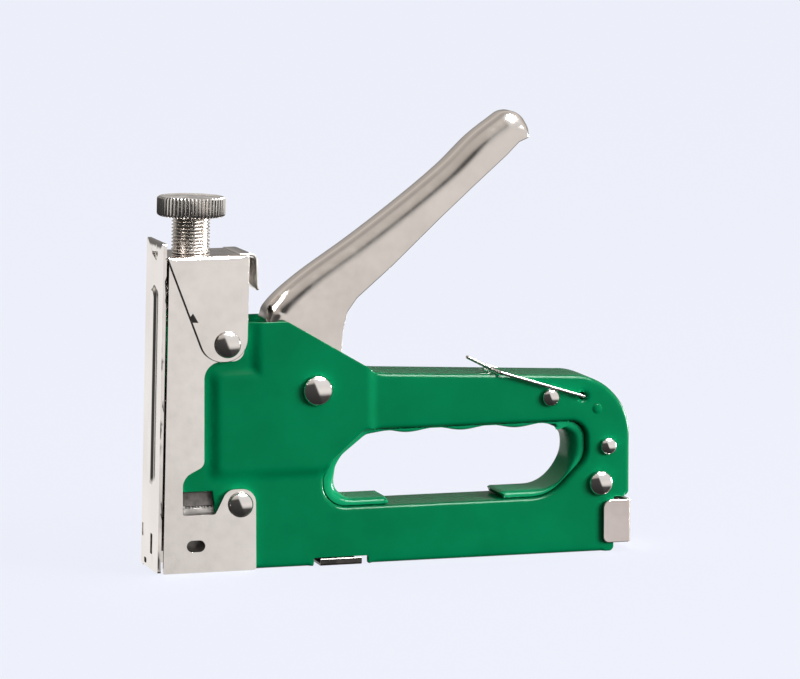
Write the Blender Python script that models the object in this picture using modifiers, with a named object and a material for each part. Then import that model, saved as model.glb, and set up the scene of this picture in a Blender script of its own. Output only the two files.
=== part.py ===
"""Hand staple gun: stamped steel body, chromed nose, spring striker, squeeze lever and pull-out pusher.

Every length below is in millimetres and every angle in degrees.  The gun is drawn with its nose at the left:
x runs from the nose to the rear, z up from the base, and y across, with the left side at -y.
The parts hang on the empty gun_frame, which puts the world origin under the middle of the gun.
"""
import math

import bmesh
import bpy
from mathutils import Matrix, Vector

MM = 0.001
WELD = 0.00001
GAP = 0.3

# Overall lengths
FRONT_FACE = -0.9
RIB_FACE = -1.0
REAR_FACE = 172.1
CENTRE_X = (RIB_FACE + REAR_FACE) / 2

# Half widths, from the middle plane out
SHEET = 1.2
BODY_HALF = 11.0
PANEL_HALF = 12.5
NOSE_HALF = 12.3
NOSE_SHEET = 1.0
CAP_HALF = 13.6
CAP_SHEET = 0.8
CAP_TONGUE_HALF = 11.5
SEAM = 0.2

# Heights
SHELL_TOP = 86.5
CAP_TOP = 110.2
FRONT_PLATE_TOP = 114.6
HANDLE_BOTTOM = 47.2
SADDLE_TOP = 20.2
HANDLE_ARC = 22.0

# Slots of the front plate: from the middle plane across, and up from its foot
FRONT_SLOTS = (((9.4, 11.4), (9.8, 14.4)), ((-3.9, -0.9), (5.4, 12.6)), ((4.2, 7.6), (1.0, 2.9)))

# Nose axis: the striker, its spring and the tension screw share one axis, leaning back slightly
NOSE_AXIS_X = 11.6
NOSE_LEAN = 1.5

# Rivets: x, z, head radius, head height, face that the head sits on
RIVETS = {
    "upper_nose_rivet": (24.2, 79.4, 4.6, 2.4, CAP_HALF),
    "lower_nose_rivet": (28.9, 23.2, 4.4, 2.6, NOSE_HALF),
    "lever_pivot_rivet": (56.6, 62.0, 5.3, 2.9, PANEL_HALF),
    "handle_front_rivet": (142.2, 56.0, 3.2, 2.2, BODY_HALF),
    "handle_rear_rivet": (163.7, 37.7, 3.0, 2.1, BODY_HALF),
    "handle_corner_rivet": (160.9, 24.6, 4.4, 2.8, BODY_HALF),
}
RIVET_SHANK = 2.0
RIVET_RIM = 0.35

# Grip liner: half width, middle level and swing of its finger waves, and where they start
LINER_HALF = 9.0
WAVE_LEVEL = 46.0
WAVE_SWING = 0.75
WAVE_REAR = 147.0
WAVE_RUN = 70.0
WAVE_TURNS = 3.5
WAVE_PHASE = 0.18

# Bumper and the ribbed plate under it
BUMPER_HALF = 9.5
BUMPER_FRONT = 9.0
BUMPER_REAR = 20.4
BUMPER_BOTTOM = 23.0
BUMPER_TOP = 27.8
BUMPER_PLATE_BOTTOM = 19.2
BUMPER_RIB = 0.6
BUMPER_RIB_PITCH = 1.1

# Lever
PIVOT = (56.6, 62.0)
LIFT_PIN_ARM = 32.0
LIFT_PIN_ANGLE = 196.5
LEVER_HALF = 8.5
LEVER_SHEET = 1.2
LEVER_ROUND = 4.5
LEVER_HEEL = 9.2
LEVER_NOSE = 4.2
LIFT_PIN_RADIUS = 2.0
LIFT_PIN_HALF = 9.3
BUSH_RADIUS = 4.6

# Tension screw and knob, measured along the nose axis
KNOB_RADIUS = 11.9
KNOB_BOTTOM = 123.0
KNOB_HEIGHT = 6.9
SCREW_RADIUS = 6.7
SCREW_BOTTOM = 99.6
SCREW_BORE = 7.0

# Striker and main spring, measured along the nose axis
STRIKER_BOTTOM = 28.2
STRIKER_TOP = 60.0
SPRING_RADIUS = 6.9
SPRING_WIRE = 0.95
SPRING_TURNS = 6
SPRING_BOTTOM = STRIKER_TOP + GAP
SPRING_TOP = 96.0

# Wire latch
LATCH_HOLE = (154.4, 55.9)
LATCH_BEND = (123.2, 65.7)
LATCH_TIP = (114.9, 69.9)
LATCH_HALF = 12.5
LATCH_WIRE = 0.6
LATCH_INNER = 8.4
LATCH_FINGER = 1.1
LATCH_BORE = 1.3

# Magazine
CHANNEL_HALF = 7.0
CHANNEL_SHEET = 1.0
CHANNEL_TOP = 18.8
CHANNEL_BOTTOM = 5.0
CHANNEL_FRONT = 2.9
CHANNEL_REAR = 164.0
STAPLE_HALF = 5.65
STAPLE_WIRE = 0.6
STAPLE_TOP = 17.5
STAPLE_REAR = 46.0
RAIL_HALF = 4.2
RAIL_TOP = 16.4
RAIL_BOTTOM = 10.0
RAIL_SHEET = 0.8
FOLLOWER_HALF = 5.6
FOLLOWER_TOP = 17.4
FOLLOWER_BOTTOM = 8.6
FOLLOWER_LENGTH = 11.7
PUSHER_COIL = 2.3
PUSHER_WIRE = 0.35
PUSHER_TURNS = 17
PUSHER_LEVEL = 12.4

# Bottom clip
CLIP_HALF = 11.7
CLIP_SHEET = 0.8
CLIP_WALL = 2.5
CLIP_FRONT = 57.8
CLIP_REAR = 72.8

# End cap of the pusher
END_CAP_FRONT = 161.6
END_CAP_HALF = 12.5
END_CAP_BOTTOM = 3.2
END_CAP_TOP = 18.5
END_CAP_SHEET = 1.3

PLANES = {
    "XZ": Matrix(((1, 0, 0), (0, 0, -1), (0, 1, 0))),
    "YZ": Matrix(((0, 0, 1), (1, 0, 0), (0, 1, 0))),
    "XY": Matrix(((1, 0, 0), (0, 1, 0), (0, 0, 1))),
}


# ---------------------------------------------------------------- materials

def principled(name, colour, metallic, roughness):
    """One plain Principled material."""
    material = bpy.data.materials.new(name)
    material.use_nodes = True
    shader = material.node_tree.nodes["Principled BSDF"]
    shader.inputs["Base Color"].default_value = (*colour, 1.0)
    shader.inputs["Metallic"].default_value = metallic
    shader.inputs["Roughness"].default_value = roughness
    material.diffuse_color = (*colour, 1.0)
    return material


def green_paint(name):
    return principled(name, (0.0, 0.17, 0.065), 0.0, 0.25)


def bright_green_plastic(name):
    return principled(name, (0.0, 0.32, 0.13), 0.0, 0.4)


def chrome(name):
    return principled(name, (0.78, 0.75, 0.73), 1.0, 0.12)


def dark_steel(name):
    return principled(name, (0.2, 0.19, 0.18), 1.0, 0.35)


def spring_steel(name):
    return principled(name, (0.45, 0.44, 0.43), 1.0, 0.3)


def black_rubber(name):
    return principled(name, (0.05, 0.05, 0.045), 0.0, 0.7)


# ---------------------------------------------------------------- outlines

def rounded(corners, step=18.0):
    """Points of a closed outline whose corners (a, b, radius) are rounded by arcs."""
    points = []
    count = len(corners)
    for index, (a, b, radius) in enumerate(corners):
        corner = Vector((a, b))
        before = Vector(corners[index - 1][:2]) - corner
        after = Vector(corners[(index + 1) % count][:2]) - corner
        before.normalize()
        after.normalize()
        angle = before.angle(after)
        if radius <= 0.0 or angle > math.radians(178):
            points.append((a, b))
            continue
        reach = radius / math.tan(angle / 2)
        centre = corner + (before + after).normalized() * (radius / math.sin(angle / 2))
        start = corner + before * reach - centre
        turn = start.angle_signed(corner + after * reach - centre)
        pieces = max(2, round(abs(math.degrees(turn)) / step))
        for piece in range(pieces + 1):
            spun = start.copy()
            spun.rotate(Matrix.Rotation(-turn * piece / pieces, 2))
            points.append(tuple(centre + spun))
    return points


def arc(centre, radius, first, last, pieces):
    """Points on an arc, from one angle to another."""
    angles = [math.radians(first + (last - first) * i / pieces) for i in range(pieces + 1)]
    return [(centre[0] + radius * math.cos(t), centre[1] + radius * math.sin(t)) for t in angles]


def inset(points, distance):
    """The same closed outline, moved inwards (anticlockwise outline) by a distance."""
    moved = []
    count = len(points)
    for index in range(count):
        here = Vector(points[index])
        before = (here - Vector(points[index - 1])).normalized()
        after = (Vector(points[(index + 1) % count]) - here).normalized()
        inward = Vector((-before.y - after.y, before.x + after.x)).normalized()
        stretch = inward.dot(Vector((-after.y, after.x)))
        moved.append(tuple(here + inward * (distance / stretch)))
    return moved


def polar(centre, radius, angle):
    turn = math.radians(angle)
    return (centre[0] + radius * math.cos(turn), centre[1] + radius * math.sin(turn))


# ---------------------------------------------------------------- objects

class Workshop:
    """Collections, empties and the two ways of adding an object."""

    def __init__(self):
        for old in list(bpy.data.objects):
            bpy.data.objects.remove(old, do_unlink=True)
        self.parts = self.collection("staple_gun")
        self.cutters = self.collection("cutters")
        self.gun = self.empty("gun_frame", None, (-CENTRE_X, 0, 0), 0.0)
        self.nose = self.empty("nose_axis", self.gun, (NOSE_AXIS_X, 0, 0), NOSE_LEAN)
        self.pivot = self.empty("lever_axis", self.gun, (PIVOT[0], 0, PIVOT[1]), 0.0)

    def collection(self, name):
        made = bpy.data.collections.new(name)
        bpy.context.scene.collection.children.link(made)
        return made

    def empty(self, name, parent, place, lean):
        made = bpy.data.objects.new(name, None)
        made.empty_display_size = 10 * MM
        made.parent = parent
        made.location = Vector(place) * MM
        made.rotation_euler = (0, math.radians(lean), 0)
        self.parts.objects.link(made)
        return made

    def add(self, name, mesh, parent=None, place=(0, 0, 0), turn=(0, 0, 0)):
        made = bpy.data.objects.new(name, mesh)
        made.parent = parent or self.gun
        made.location = Vector(place) * MM
        made.rotation_euler = [math.radians(angle) for angle in turn]
        return made

    def part(self, made, material):
        made.data.materials.clear()
        made.data.materials.append(material)
        made.data.shade_smooth()
        made.data.set_sharp_from_angle(angle=math.radians(35))
        self.parts.objects.link(made)
        return made

    def cutter(self, made):
        made.hide_render = True
        made.display_type = "WIRE"
        self.cutters.objects.link(made)
        return made


def finish_mesh(name, bm):
    mesh = bpy.data.meshes.new(name)
    bmesh.ops.recalc_face_normals(bm, faces=bm.faces)
    bm.to_mesh(mesh)
    bm.free()
    return mesh


def outline_mesh(name, loops, low, high, plane="XZ", edges=None):
    """A flat outline (and the holes in it) extruded between two levels of the plane's own axis.

    edges is (chooser, radius, segments): the long edges that the chooser accepts are rounded.
    """
    curve = bpy.data.curves.new(name, "CURVE")
    curve.dimensions = "2D"
    curve.fill_mode = "BOTH"
    curve.extrude = (high - low) / 2 * MM
    for loop in loops:
        spline = curve.splines.new("POLY")
        spline.points.add(len(loop) - 1)
        for point, (a, b) in zip(spline.points, loop):
            point.co = (a * MM, b * MM, 0, 1)
        spline.use_cyclic_u = True
    guide = bpy.data.objects.new(name, curve)
    bpy.context.scene.collection.objects.link(guide)
    graph = bpy.context.evaluated_depsgraph_get()
    flat = bpy.data.meshes.new_from_object(guide.evaluated_get(graph))
    bpy.data.objects.remove(guide, do_unlink=True)
    bpy.data.curves.remove(curve)
    bm = bmesh.new()
    bm.from_mesh(flat)
    bpy.data.meshes.remove(flat)
    bmesh.ops.remove_doubles(bm, verts=bm.verts, dist=WELD)
    bmesh.ops.dissolve_limit(bm, angle_limit=math.radians(0.5), verts=bm.verts, edges=bm.edges)
    turn = PLANES[plane]
    middle = (low + high) / 2 * MM
    shift = {"XZ": (0, middle, 0), "YZ": (middle, 0, 0), "XY": (0, 0, middle)}[plane]
    bmesh.ops.transform(bm, matrix=Matrix.Translation(shift) @ turn.to_4x4(), verts=bm.verts)
    bmesh.ops.recalc_face_normals(bm, faces=bm.faces)
    if edges:
        chooser, radius, segments = edges
        chosen = [e for e in bm.edges if chooser(*(((e.verts[0].co + e.verts[1].co) / 2) / MM), e)]
        bmesh.ops.bevel(bm, geom=chosen, offset=radius * MM, segments=segments, profile=0.5,
                        affect="EDGES", clamp_overlap=True)
    return finish_mesh(name, bm)


def box_mesh(name, x, y, z):
    """A box between (low, high) pairs."""
    bm = bmesh.new()
    bmesh.ops.create_cube(bm, size=1.0)
    size = Vector((x[1] - x[0], y[1] - y[0], z[1] - z[0])) * MM
    middle = Vector((x[0] + x[1], y[0] + y[1], z[0] + z[1])) * (MM / 2)
    bmesh.ops.scale(bm, vec=size, verts=bm.verts)
    bmesh.ops.translate(bm, vec=middle, verts=bm.verts)
    return finish_mesh(name, bm)


def cylinder_mesh(name, radius, length, segments=24):
    """A round bar along z, centred."""
    bm = bmesh.new()
    bmesh.ops.create_cone(bm, cap_ends=True, segments=segments, radius1=radius * MM,
                          radius2=radius * MM, depth=length * MM)
    return finish_mesh(name, bm)


def turned(name, profile):
    """A profile (radius, height), down its outer side, ready for a Screw modifier; it may close on itself."""
    mesh = bpy.data.meshes.new(name)
    bm = bmesh.new()
    closed = profile[0] == profile[-1]
    spots = profile[:-1] if closed else profile
    verts = [bm.verts.new((radius * MM, 0, height * MM)) for radius, height in spots]
    if closed:
        verts.append(verts[0])
    for first, second in zip(verts, verts[1:]):
        bm.edges.new((first, second))
    bm.to_mesh(mesh)
    bm.free()
    return mesh


def spin(made, steps):
    """Turns the profile of an object round its own z axis."""
    screw = made.modifiers.new("turn", "SCREW")
    screw.steps = steps
    screw.render_steps = steps
    screw.use_merge_vertices = True
    screw.merge_threshold = WELD
    screw.use_smooth_shade = True


def combine(target, cutter, operation="DIFFERENCE", solver="EXACT"):
    """A live Boolean between a part and a helper object."""
    boolean = target.modifiers.new(cutter.name, "BOOLEAN")
    boolean.object = cutter
    boolean.operation = operation
    boolean.solver = solver


def long_edge(edge):
    """True for an edge that lies in an end face of an XZ extrusion, between an end and a side."""
    return abs(edge.verts[0].co.y - edge.verts[1].co.y) < WELD and len(edge.link_faces) == 2


# ---------------------------------------------------------------- outlines of the gun

def body_outline():
    """Side outline of the whole body, anticlockwise from the nose end of the base."""
    lower = rounded([(3.0, 0, 0), (166.0, 0, 1.5), (166.0, 19.4, 0), (172.0, 19.4, 0),
                     (172.0, 30.0, 0)])[:-1]
    bend = arc((172.0 - HANDLE_ARC, 63.5 - HANDLE_ARC), HANDLE_ARC, 0, 90, 10)
    front = [(80.0, 66.9), (75.2, 69.3), (46.0, SHELL_TOP), (3.0, SHELL_TOP)]
    return lower + bend + front


def opening_outline():
    """Hand opening between the handle and the magazine body."""
    return rounded([(59.2, SADDLE_TOP, 8.5), (142.2, SADDLE_TOP, 16), (155.9, 33.8, 9),
                    (155.6, HANDLE_BOTTOM, 6.5), (74.0, HANDLE_BOTTOM, 4), (63.0, 37.6, 6),
                    (59.2, 31.0, 5)])


def panel_foot():
    """Where the raised mechanism panel meets the body; it goes round the rivet tab of the spring cap."""
    return [(17.0, 30.5), (79.5, 30.5), (79.5, 67.1), (75.2, 69.3), (46.0, SHELL_TOP), (32.4, SHELL_TOP),
            (32.4, 71.6), (17.0, 71.6)]


def panel_face():
    """The raised flat of the mechanism panel."""
    return [(23.0, 36.5), (72.8, 36.5), (72.8, 70.6), (72.0, 71.1), (46.0, SHELL_TOP), (38.0, SHELL_TOP),
            (38.0, 66.5), (23.0, 66.5)]


# ---------------------------------------------------------------- the two shells

def raised_block(name, foot, face, low, high):
    """A low frustum between two outlines with the same number of points, on both sides of the gun."""
    bm = bmesh.new()
    rings = []
    for points, level in ((face, -high), (foot, -low), (foot, low), (face, high)):
        rings.append([bm.verts.new((x * MM, level * MM, z * MM)) for x, z in points])
    count = len(foot)
    for first, second in zip(rings, rings[1:]):
        for i in range(count):
            j = (i + 1) % count
            bm.faces.new((first[i], first[j], second[j], second[i]))
    bm.faces.new(rings[0])
    bm.faces.new(rings[-1])
    return finish_mesh(name, bm)


def hollow_outline():
    """Inside of the body: one sheet inside the walls, and open at the nose and under the lever."""
    points = inset(body_outline(), SHEET)
    kept = [(x, z) for x, z in points if x > 76.5 or z < SADDLE_TOP]
    kept = [(x, z) for x, z in kept if x > 10]
    return [(-4.0, SHEET)] + kept + [(76.3, 67.5), (76.3, SHELL_TOP + 6), (-4.0, SHELL_TOP + 6)]


def shell_tools(shop):
    """The solids that shape both shells."""
    tools = {}
    panel = raised_block("panel_block", panel_foot(), panel_face(), BODY_HALF - 1, PANEL_HALF)
    tools["panel"] = shop.cutter(shop.add("panel_block", panel))
    opening = outline_mesh("opening_cutter", [opening_outline()], -16, 16)
    tools["opening"] = shop.cutter(shop.add("opening_cutter", opening))
    hollow = outline_mesh("hollow_cutter", [hollow_outline()], SHEET - BODY_HALF, BODY_HALF - SHEET)
    tools["hollow"] = shop.cutter(shop.add("hollow_cutter", hollow))
    over = SHELL_TOP + 8
    foot = [(18.4, 31.9), (78.1, 31.9), (76.0, 68.0), (75.0, over), (46.0, over), (33.9, over),
            (33.9, 70.2), (18.4, 70.2)]
    face = [(24.0, 37.6), (71.8, 37.6), (71.8, 71.0), (71.0, over), (46.0, over), (39.0, over),
            (39.0, 65.4), (24.0, 65.4)]
    inside = raised_block("panel_hollow", foot, face, BODY_HALF - SHEET - 0.2, PANEL_HALF - SHEET)
    combine(tools["hollow"], shop.cutter(shop.add("panel_hollow", inside)), "UNION")
    guard = outline_mesh("opening_wall", [inset(opening_outline(), -SHEET)], -16, 16)
    combine(tools["hollow"], shop.cutter(shop.add("opening_wall", guard)))
    tools["window"] = shop.cutter(shop.add("window_notch", box_mesh(
        "window_notch", (-4, 19.2), (-16, 16), (-1, 28.2))))
    tools["loading"] = shop.cutter(shop.add("loading_slot", box_mesh(
        "loading_slot", (-5, 180), (-6.6, 6.6), (-1, 3))))
    tools["rear"] = shop.cutter(shop.add("rear_door", box_mesh(
        "rear_door", (160, 169), (SHEET - BODY_HALF, BODY_HALF - SHEET), (SHEET, 18.2))))
    tools["clip"] = shop.cutter(shop.add("clip_notch", box_mesh(
        "clip_notch", (55.6, 75.2), (-16, 16), (-1, 2.8))))
    return tools


def hole_cutter(shop, name, x, z, radius, half=20.0, segments=16):
    mesh = cylinder_mesh(name, radius, 2 * half, segments)
    return shop.cutter(shop.add(name, mesh, place=(x, 0, z), turn=(90, 0, 0)))


def shell_holes(shop):
    """Holes through both shells: the rivets and the wire latch."""
    holes = []
    for name, (x, z, _, _, _) in RIVETS.items():
        holes.append(hole_cutter(shop, name + "_hole", x, z, RIVET_SHANK + GAP, segments=12))
    holes.append(hole_cutter(shop, "latch_hole", *LATCH_HOLE, LATCH_BORE, segments=12))
    return holes


def make_shells(shop):
    """Two stamped half bodies: a side wall, a raised panel and flanges that meet at the middle seam."""
    tools = shell_tools(shop)
    holes = shell_holes(shop)

    def outer_edge(x, y, z, edge):
        return long_edge(edge) and abs(edge.verts[0].co.y) > (BODY_HALF - 0.1) * MM and (
            x > 78.0 or z < 1.0) and edge.calc_face_angle(0) > 1.0

    for name, side in (("left_shell", -1), ("right_shell", 1)):
        mesh = outline_mesh(name, [body_outline()], -BODY_HALF, BODY_HALF, edges=(outer_edge, 1.9, 3))
        shell = shop.add(name, mesh)
        combine(shell, tools["panel"], "UNION", "MANIFOLD")
        for tool in ("opening", "hollow", "window", "loading", "rear", "clip"):
            combine(shell, tools[tool], solver="MANIFOLD")
        for hole in holes:
            combine(shell, hole, solver="MANIFOLD")
        keep = (SEAM, 16) if side > 0 else (-16, -SEAM)
        half = box_mesh(name + "_half", (-20, 200), keep, (-10, 130))
        combine(shell, shop.cutter(shop.add(name + "_half", half)), "INTERSECT", "MANIFOLD")
        shop.part(shell, green_paint("green_paint_" + name))


# ---------------------------------------------------------------- grip liner

def finger_waves(pieces=24):
    """Wavy line under the handle, from the rear to the front."""
    line = []
    for i in range(pieces + 1):
        share = i / pieces
        turn = 2 * math.pi * (share * WAVE_TURNS + WAVE_PHASE)
        line.append((WAVE_REAR - share * WAVE_RUN, WAVE_LEVEL - WAVE_SWING * math.cos(turn)))
    return line


def make_grip_liner(shop):
    """C-shaped liner of the hand opening, with finger waves under the handle."""
    outer = inset(opening_outline(), GAP)
    rear = rounded([(64.6, 30, 0), (64.6, 22.8, 6.0), (150.7, 22.8, 12.4), (150.7, 45.4, 7.5),
                    (WAVE_REAR, 45.4, 0)])
    front = rounded([(WAVE_REAR, 45.4, 0), (76.0, 45.3, 3), (66.6, 38.3, 6), (64.6, 34.0, 3), (64.6, 30, 0)])
    inner = rear[:-2] + finger_waves() + front[1:-1]
    mesh = outline_mesh("grip_liner", [outer, inner], -LINER_HALF, LINER_HALF)
    liner = shop.add("grip_liner", mesh)
    saddle = rounded([(83.5, 10, 0), (125.5, 10, 0), (124.0, 30, 3), (82.0, 30, 3)])
    gap = outline_mesh("liner_gap", [saddle], -LINER_HALF - 3, LINER_HALF + 3)
    combine(liner, shop.cutter(shop.add("liner_gap", gap)))
    shop.part(liner, bright_green_plastic("grip_liner_plastic"))


# ---------------------------------------------------------------- nose

def nose_plate_outline():
    lean = math.tan(math.radians(NOSE_LEAN))
    return rounded([(1.2, 0, 0.3), (34.4, 0, 1.0), (34.4, 28.6, 5.0), (24.2, 28.6, 4.4), (19.9, 20.1, 1.2),
                    (8.3, 20.1, 1.0), (8.3, 33.4, 5.5), (16.0, 37.2, 3.0), (16.2, 73.4, 6.0),
                    (30.5, 73.4, 4), (30.5, 107.5, 0.5), (1.2 + lean * 107.5, 107.5, 0.5)])


def oblong(centre, half_length, radius):
    x, z = centre
    left = arc((x - half_length + radius, z), radius, 90, 270, 6)
    right = arc((x + half_length - radius, z), radius, -90, 90, 6)
    return left + right


def circle(centre, radius, pieces=14):
    return arc(centre, radius, 0, 360 * (pieces - 1) / pieces, pieces - 1)


def make_nose_plates(shop):
    loops = [nose_plate_outline(), oblong((12.9, 9.3), 3.3, 2.05)]
    for name in ("upper_nose_rivet", "lower_nose_rivet"):
        loops.append(circle(RIVETS[name][:2], RIVET_SHANK + GAP, 12))
    for name, side in (("left_nose_plate", -1), ("right_nose_plate", 1)):
        low, high = sorted((side * NOSE_HALF, side * (NOSE_HALF - NOSE_SHEET)))
        plate = shop.add(name, outline_mesh(name, loops, low, high))
        shop.part(plate, chrome(name + "_chrome"))


def make_front_plate(shop):
    """Front plate on the nose axis, with its rib, slots and pierced tongue."""
    depth = (FRONT_FACE - NOSE_AXIS_X, FRONT_FACE - NOSE_AXIS_X + SHEET)
    outline = rounded([(-NOSE_HALF, 0, 0.8), (NOSE_HALF, 0, 0.8), (NOSE_HALF, FRONT_PLATE_TOP, 0.8),
                       (-NOSE_HALF, FRONT_PLATE_TOP, 0.8)])
    loops = [outline]
    for (left, right), (bottom, top) in FRONT_SLOTS:
        corners = [(left, bottom), (right, bottom), (right, top), (left, top)]
        loops.append(rounded([(*corner, 0.7) for corner in corners]))
    loops.append(rounded([(6.4, 110.3, 0.5), (-4.8, 111.2, 0.6), (-2.0, 107.8, 0.5)]))
    mesh = outline_mesh("front_plate", loops, *depth, plane="YZ")
    plate = shop.add("front_plate", mesh, shop.nose)

    def rib_edge(x, y, z, edge):
        return x < depth[0] - 0.5

    rib = rounded([(-3.3, 30, 3.2), (3.3, 30, 3.2), (3.3, 98, 3.2), (-3.3, 98, 3.2)], 30)
    rib_mesh = outline_mesh("front_rib", [rib], depth[0] - 0.9, depth[0] + 0.5, "YZ", (rib_edge, 0.8, 2))
    combine(plate, shop.cutter(shop.add("front_rib", rib_mesh, shop.nose)), "UNION")
    shop.part(plate, chrome("front_plate_chrome"))


def make_spring_cap(shop):
    """Inverted U over the nose: rounded rivet tabs at the sides, a tongue at the rear."""
    side = rounded([(3.1, CAP_TOP, 0.4), (16.9, 73.3, 8.0), (31.2, 73.3, 8.0), (32.2, CAP_TOP, 0.8)])

    def top_edge(x, y, z, edge):
        return long_edge(edge) and z > CAP_TOP - 0.1 and edge.calc_face_angle(0) > 1.0

    mesh = outline_mesh("spring_cap", [side], -CAP_HALF, CAP_HALF, edges=(top_edge, 1.6, 3))
    cap = shop.add("spring_cap", mesh)
    tongue = rounded([(28, CAP_TOP, 0), (28, CAP_TOP - 2, 0), (33.8, CAP_TOP - CAP_SHEET, 1.0),
                      (34.9, 97.2, 0.4), (36.0, 97.0, 0.4), (34.8, CAP_TOP, 1.6)])
    mesh = outline_mesh("cap_tongue", [tongue], -CAP_TONGUE_HALF, CAP_TONGUE_HALF)
    combine(cap, shop.cutter(shop.add("cap_tongue", mesh)), "UNION")
    inside = CAP_HALF - CAP_SHEET
    hollow = box_mesh("cap_hollow", (-10, 33.4), (-inside, inside), (60, CAP_TOP - CAP_SHEET))
    combine(cap, shop.cutter(shop.add("cap_hollow", hollow)))
    bore = cylinder_mesh("cap_bore", SCREW_BORE + 0.2, 30, 28)
    combine(cap, shop.cutter(shop.add("cap_bore", bore, shop.nose, (0, 0, CAP_TOP))))
    x, z = RIVETS["upper_nose_rivet"][:2]
    combine(cap, hole_cutter(shop, "cap_rivet_hole", x, z, RIVET_SHANK + GAP, segments=12))
    shop.part(cap, chrome("spring_cap_chrome"))


# ---------------------------------------------------------------- fasteners

def dome(radius, height, face, pieces=4):
    """Profile of a domed head on a face, from the axis out to the shank side."""
    points = []
    for i in range(pieces + 1):
        turn = math.pi / 2 * i / pieces
        level = face + RIVET_RIM + (height - RIVET_RIM) * math.cos(turn)
        points.append((radius * math.sin(turn), level))
    return points + [(radius, face)]


def make_rivets(shop):
    for name, (x, z, head, height, face) in RIVETS.items():
        top = dome(head, height, face + GAP)
        profile = top + [(RIVET_SHANK, face + GAP)]
        profile += [(radius, -level) for radius, level in reversed(profile)]
        rivet = shop.add(name, turned(name, profile), place=(x, 0, z), turn=(90, 0, 0))
        spin(rivet, 20)
        shop.part(rivet, chrome(name + "_chrome"))


def make_pivot_bush(shop):
    half = PANEL_HALF - SHEET - GAP
    bore = RIVET_SHANK + GAP
    profile = [(bore, half), (BUSH_RADIUS - 0.4, half), (BUSH_RADIUS, half - 0.4),
               (BUSH_RADIUS, 0.4 - half), (BUSH_RADIUS - 0.4, -half), (bore, -half), (bore, half)]
    bush = shop.add("pivot_bush", turned("pivot_bush", profile), place=(PIVOT[0], 0, PIVOT[1]),
                    turn=(90, 0, 0))
    spin(bush, 24)
    shop.part(bush, spring_steel("pivot_bush_steel"))


def make_bottom_clip(shop):
    """Saddle across the base that keeps the magazine channel in."""
    inner = CLIP_HALF - CLIP_SHEET
    loop = rounded([(-CLIP_HALF, 0, 0.7), (CLIP_HALF, 0, 0.7), (CLIP_HALF, CLIP_WALL, 0.3),
                    (inner, CLIP_WALL, 0), (inner, 1.0, 0.2), (-inner, 1.0, 0.2), (-inner, CLIP_WALL, 0),
                    (-CLIP_HALF, CLIP_WALL, 0.3)], 45)
    clip = shop.add("bottom_clip", outline_mesh("bottom_clip", [loop], CLIP_FRONT, CLIP_REAR, "YZ"))
    shop.part(clip, dark_steel("bottom_clip_steel"))


# ---------------------------------------------------------------- magazine

def u_section(half, top, bottom, sheet, top_sheet=None):
    """An inverted U across the gun."""
    lid = top - (top_sheet or sheet)
    return [(-half, bottom), (sheet - half, bottom), (sheet - half, lid), (half - sheet, lid),
            (half - sheet, bottom), (half, bottom), (half, top), (-half, top)]


def make_magazine(shop):
    channel = u_section(CHANNEL_HALF, CHANNEL_TOP, CHANNEL_BOTTOM, CHANNEL_SHEET)
    made = shop.add("magazine_channel", outline_mesh(
        "magazine_channel", [channel], CHANNEL_FRONT, CHANNEL_REAR, "YZ"))
    shop.part(made, spring_steel("magazine_channel_steel"))
    strip = u_section(STAPLE_HALF, STAPLE_TOP, 9.4, 0.5, STAPLE_WIRE)
    mesh = outline_mesh("staple_strip", [strip], CHANNEL_FRONT + 0.2, STAPLE_REAR, "YZ")
    made = shop.add("staple_strip", mesh)
    shop.part(made, spring_steel("staple_strip_wire"))


def make_bumper(shop):
    """Rubber block that stops the striker, on a ribbed steel plate."""
    block = rounded([(BUMPER_FRONT, BUMPER_BOTTOM, 0.5), (BUMPER_REAR, BUMPER_BOTTOM, 0.5),
                     (BUMPER_REAR, BUMPER_TOP, 0.5), (BUMPER_FRONT, BUMPER_TOP, 0.5)], 45)
    made = shop.add("bumper", outline_mesh("bumper", [block], -BUMPER_HALF, BUMPER_HALF))
    shop.part(made, black_rubber("bumper_rubber"))
    top = BUMPER_BOTTOM - GAP
    ribs = [(BUMPER_REAR, BUMPER_PLATE_BOTTOM), (BUMPER_REAR, top)]
    x = BUMPER_REAR - BUMPER_RIB_PITCH
    while x > BUMPER_FRONT + BUMPER_RIB_PITCH:
        ribs += [(x, top), (x - 0.2, top - BUMPER_RIB), (x - 0.5, top - BUMPER_RIB), (x - 0.7, top)]
        x -= BUMPER_RIB_PITCH
    ribs += [(BUMPER_FRONT, top), (BUMPER_FRONT, BUMPER_PLATE_BOTTOM)]
    made = shop.add("bumper_plate", outline_mesh("bumper_plate", [ribs], -BUMPER_HALF, BUMPER_HALF))
    shop.part(made, spring_steel("bumper_plate_steel"))


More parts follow.
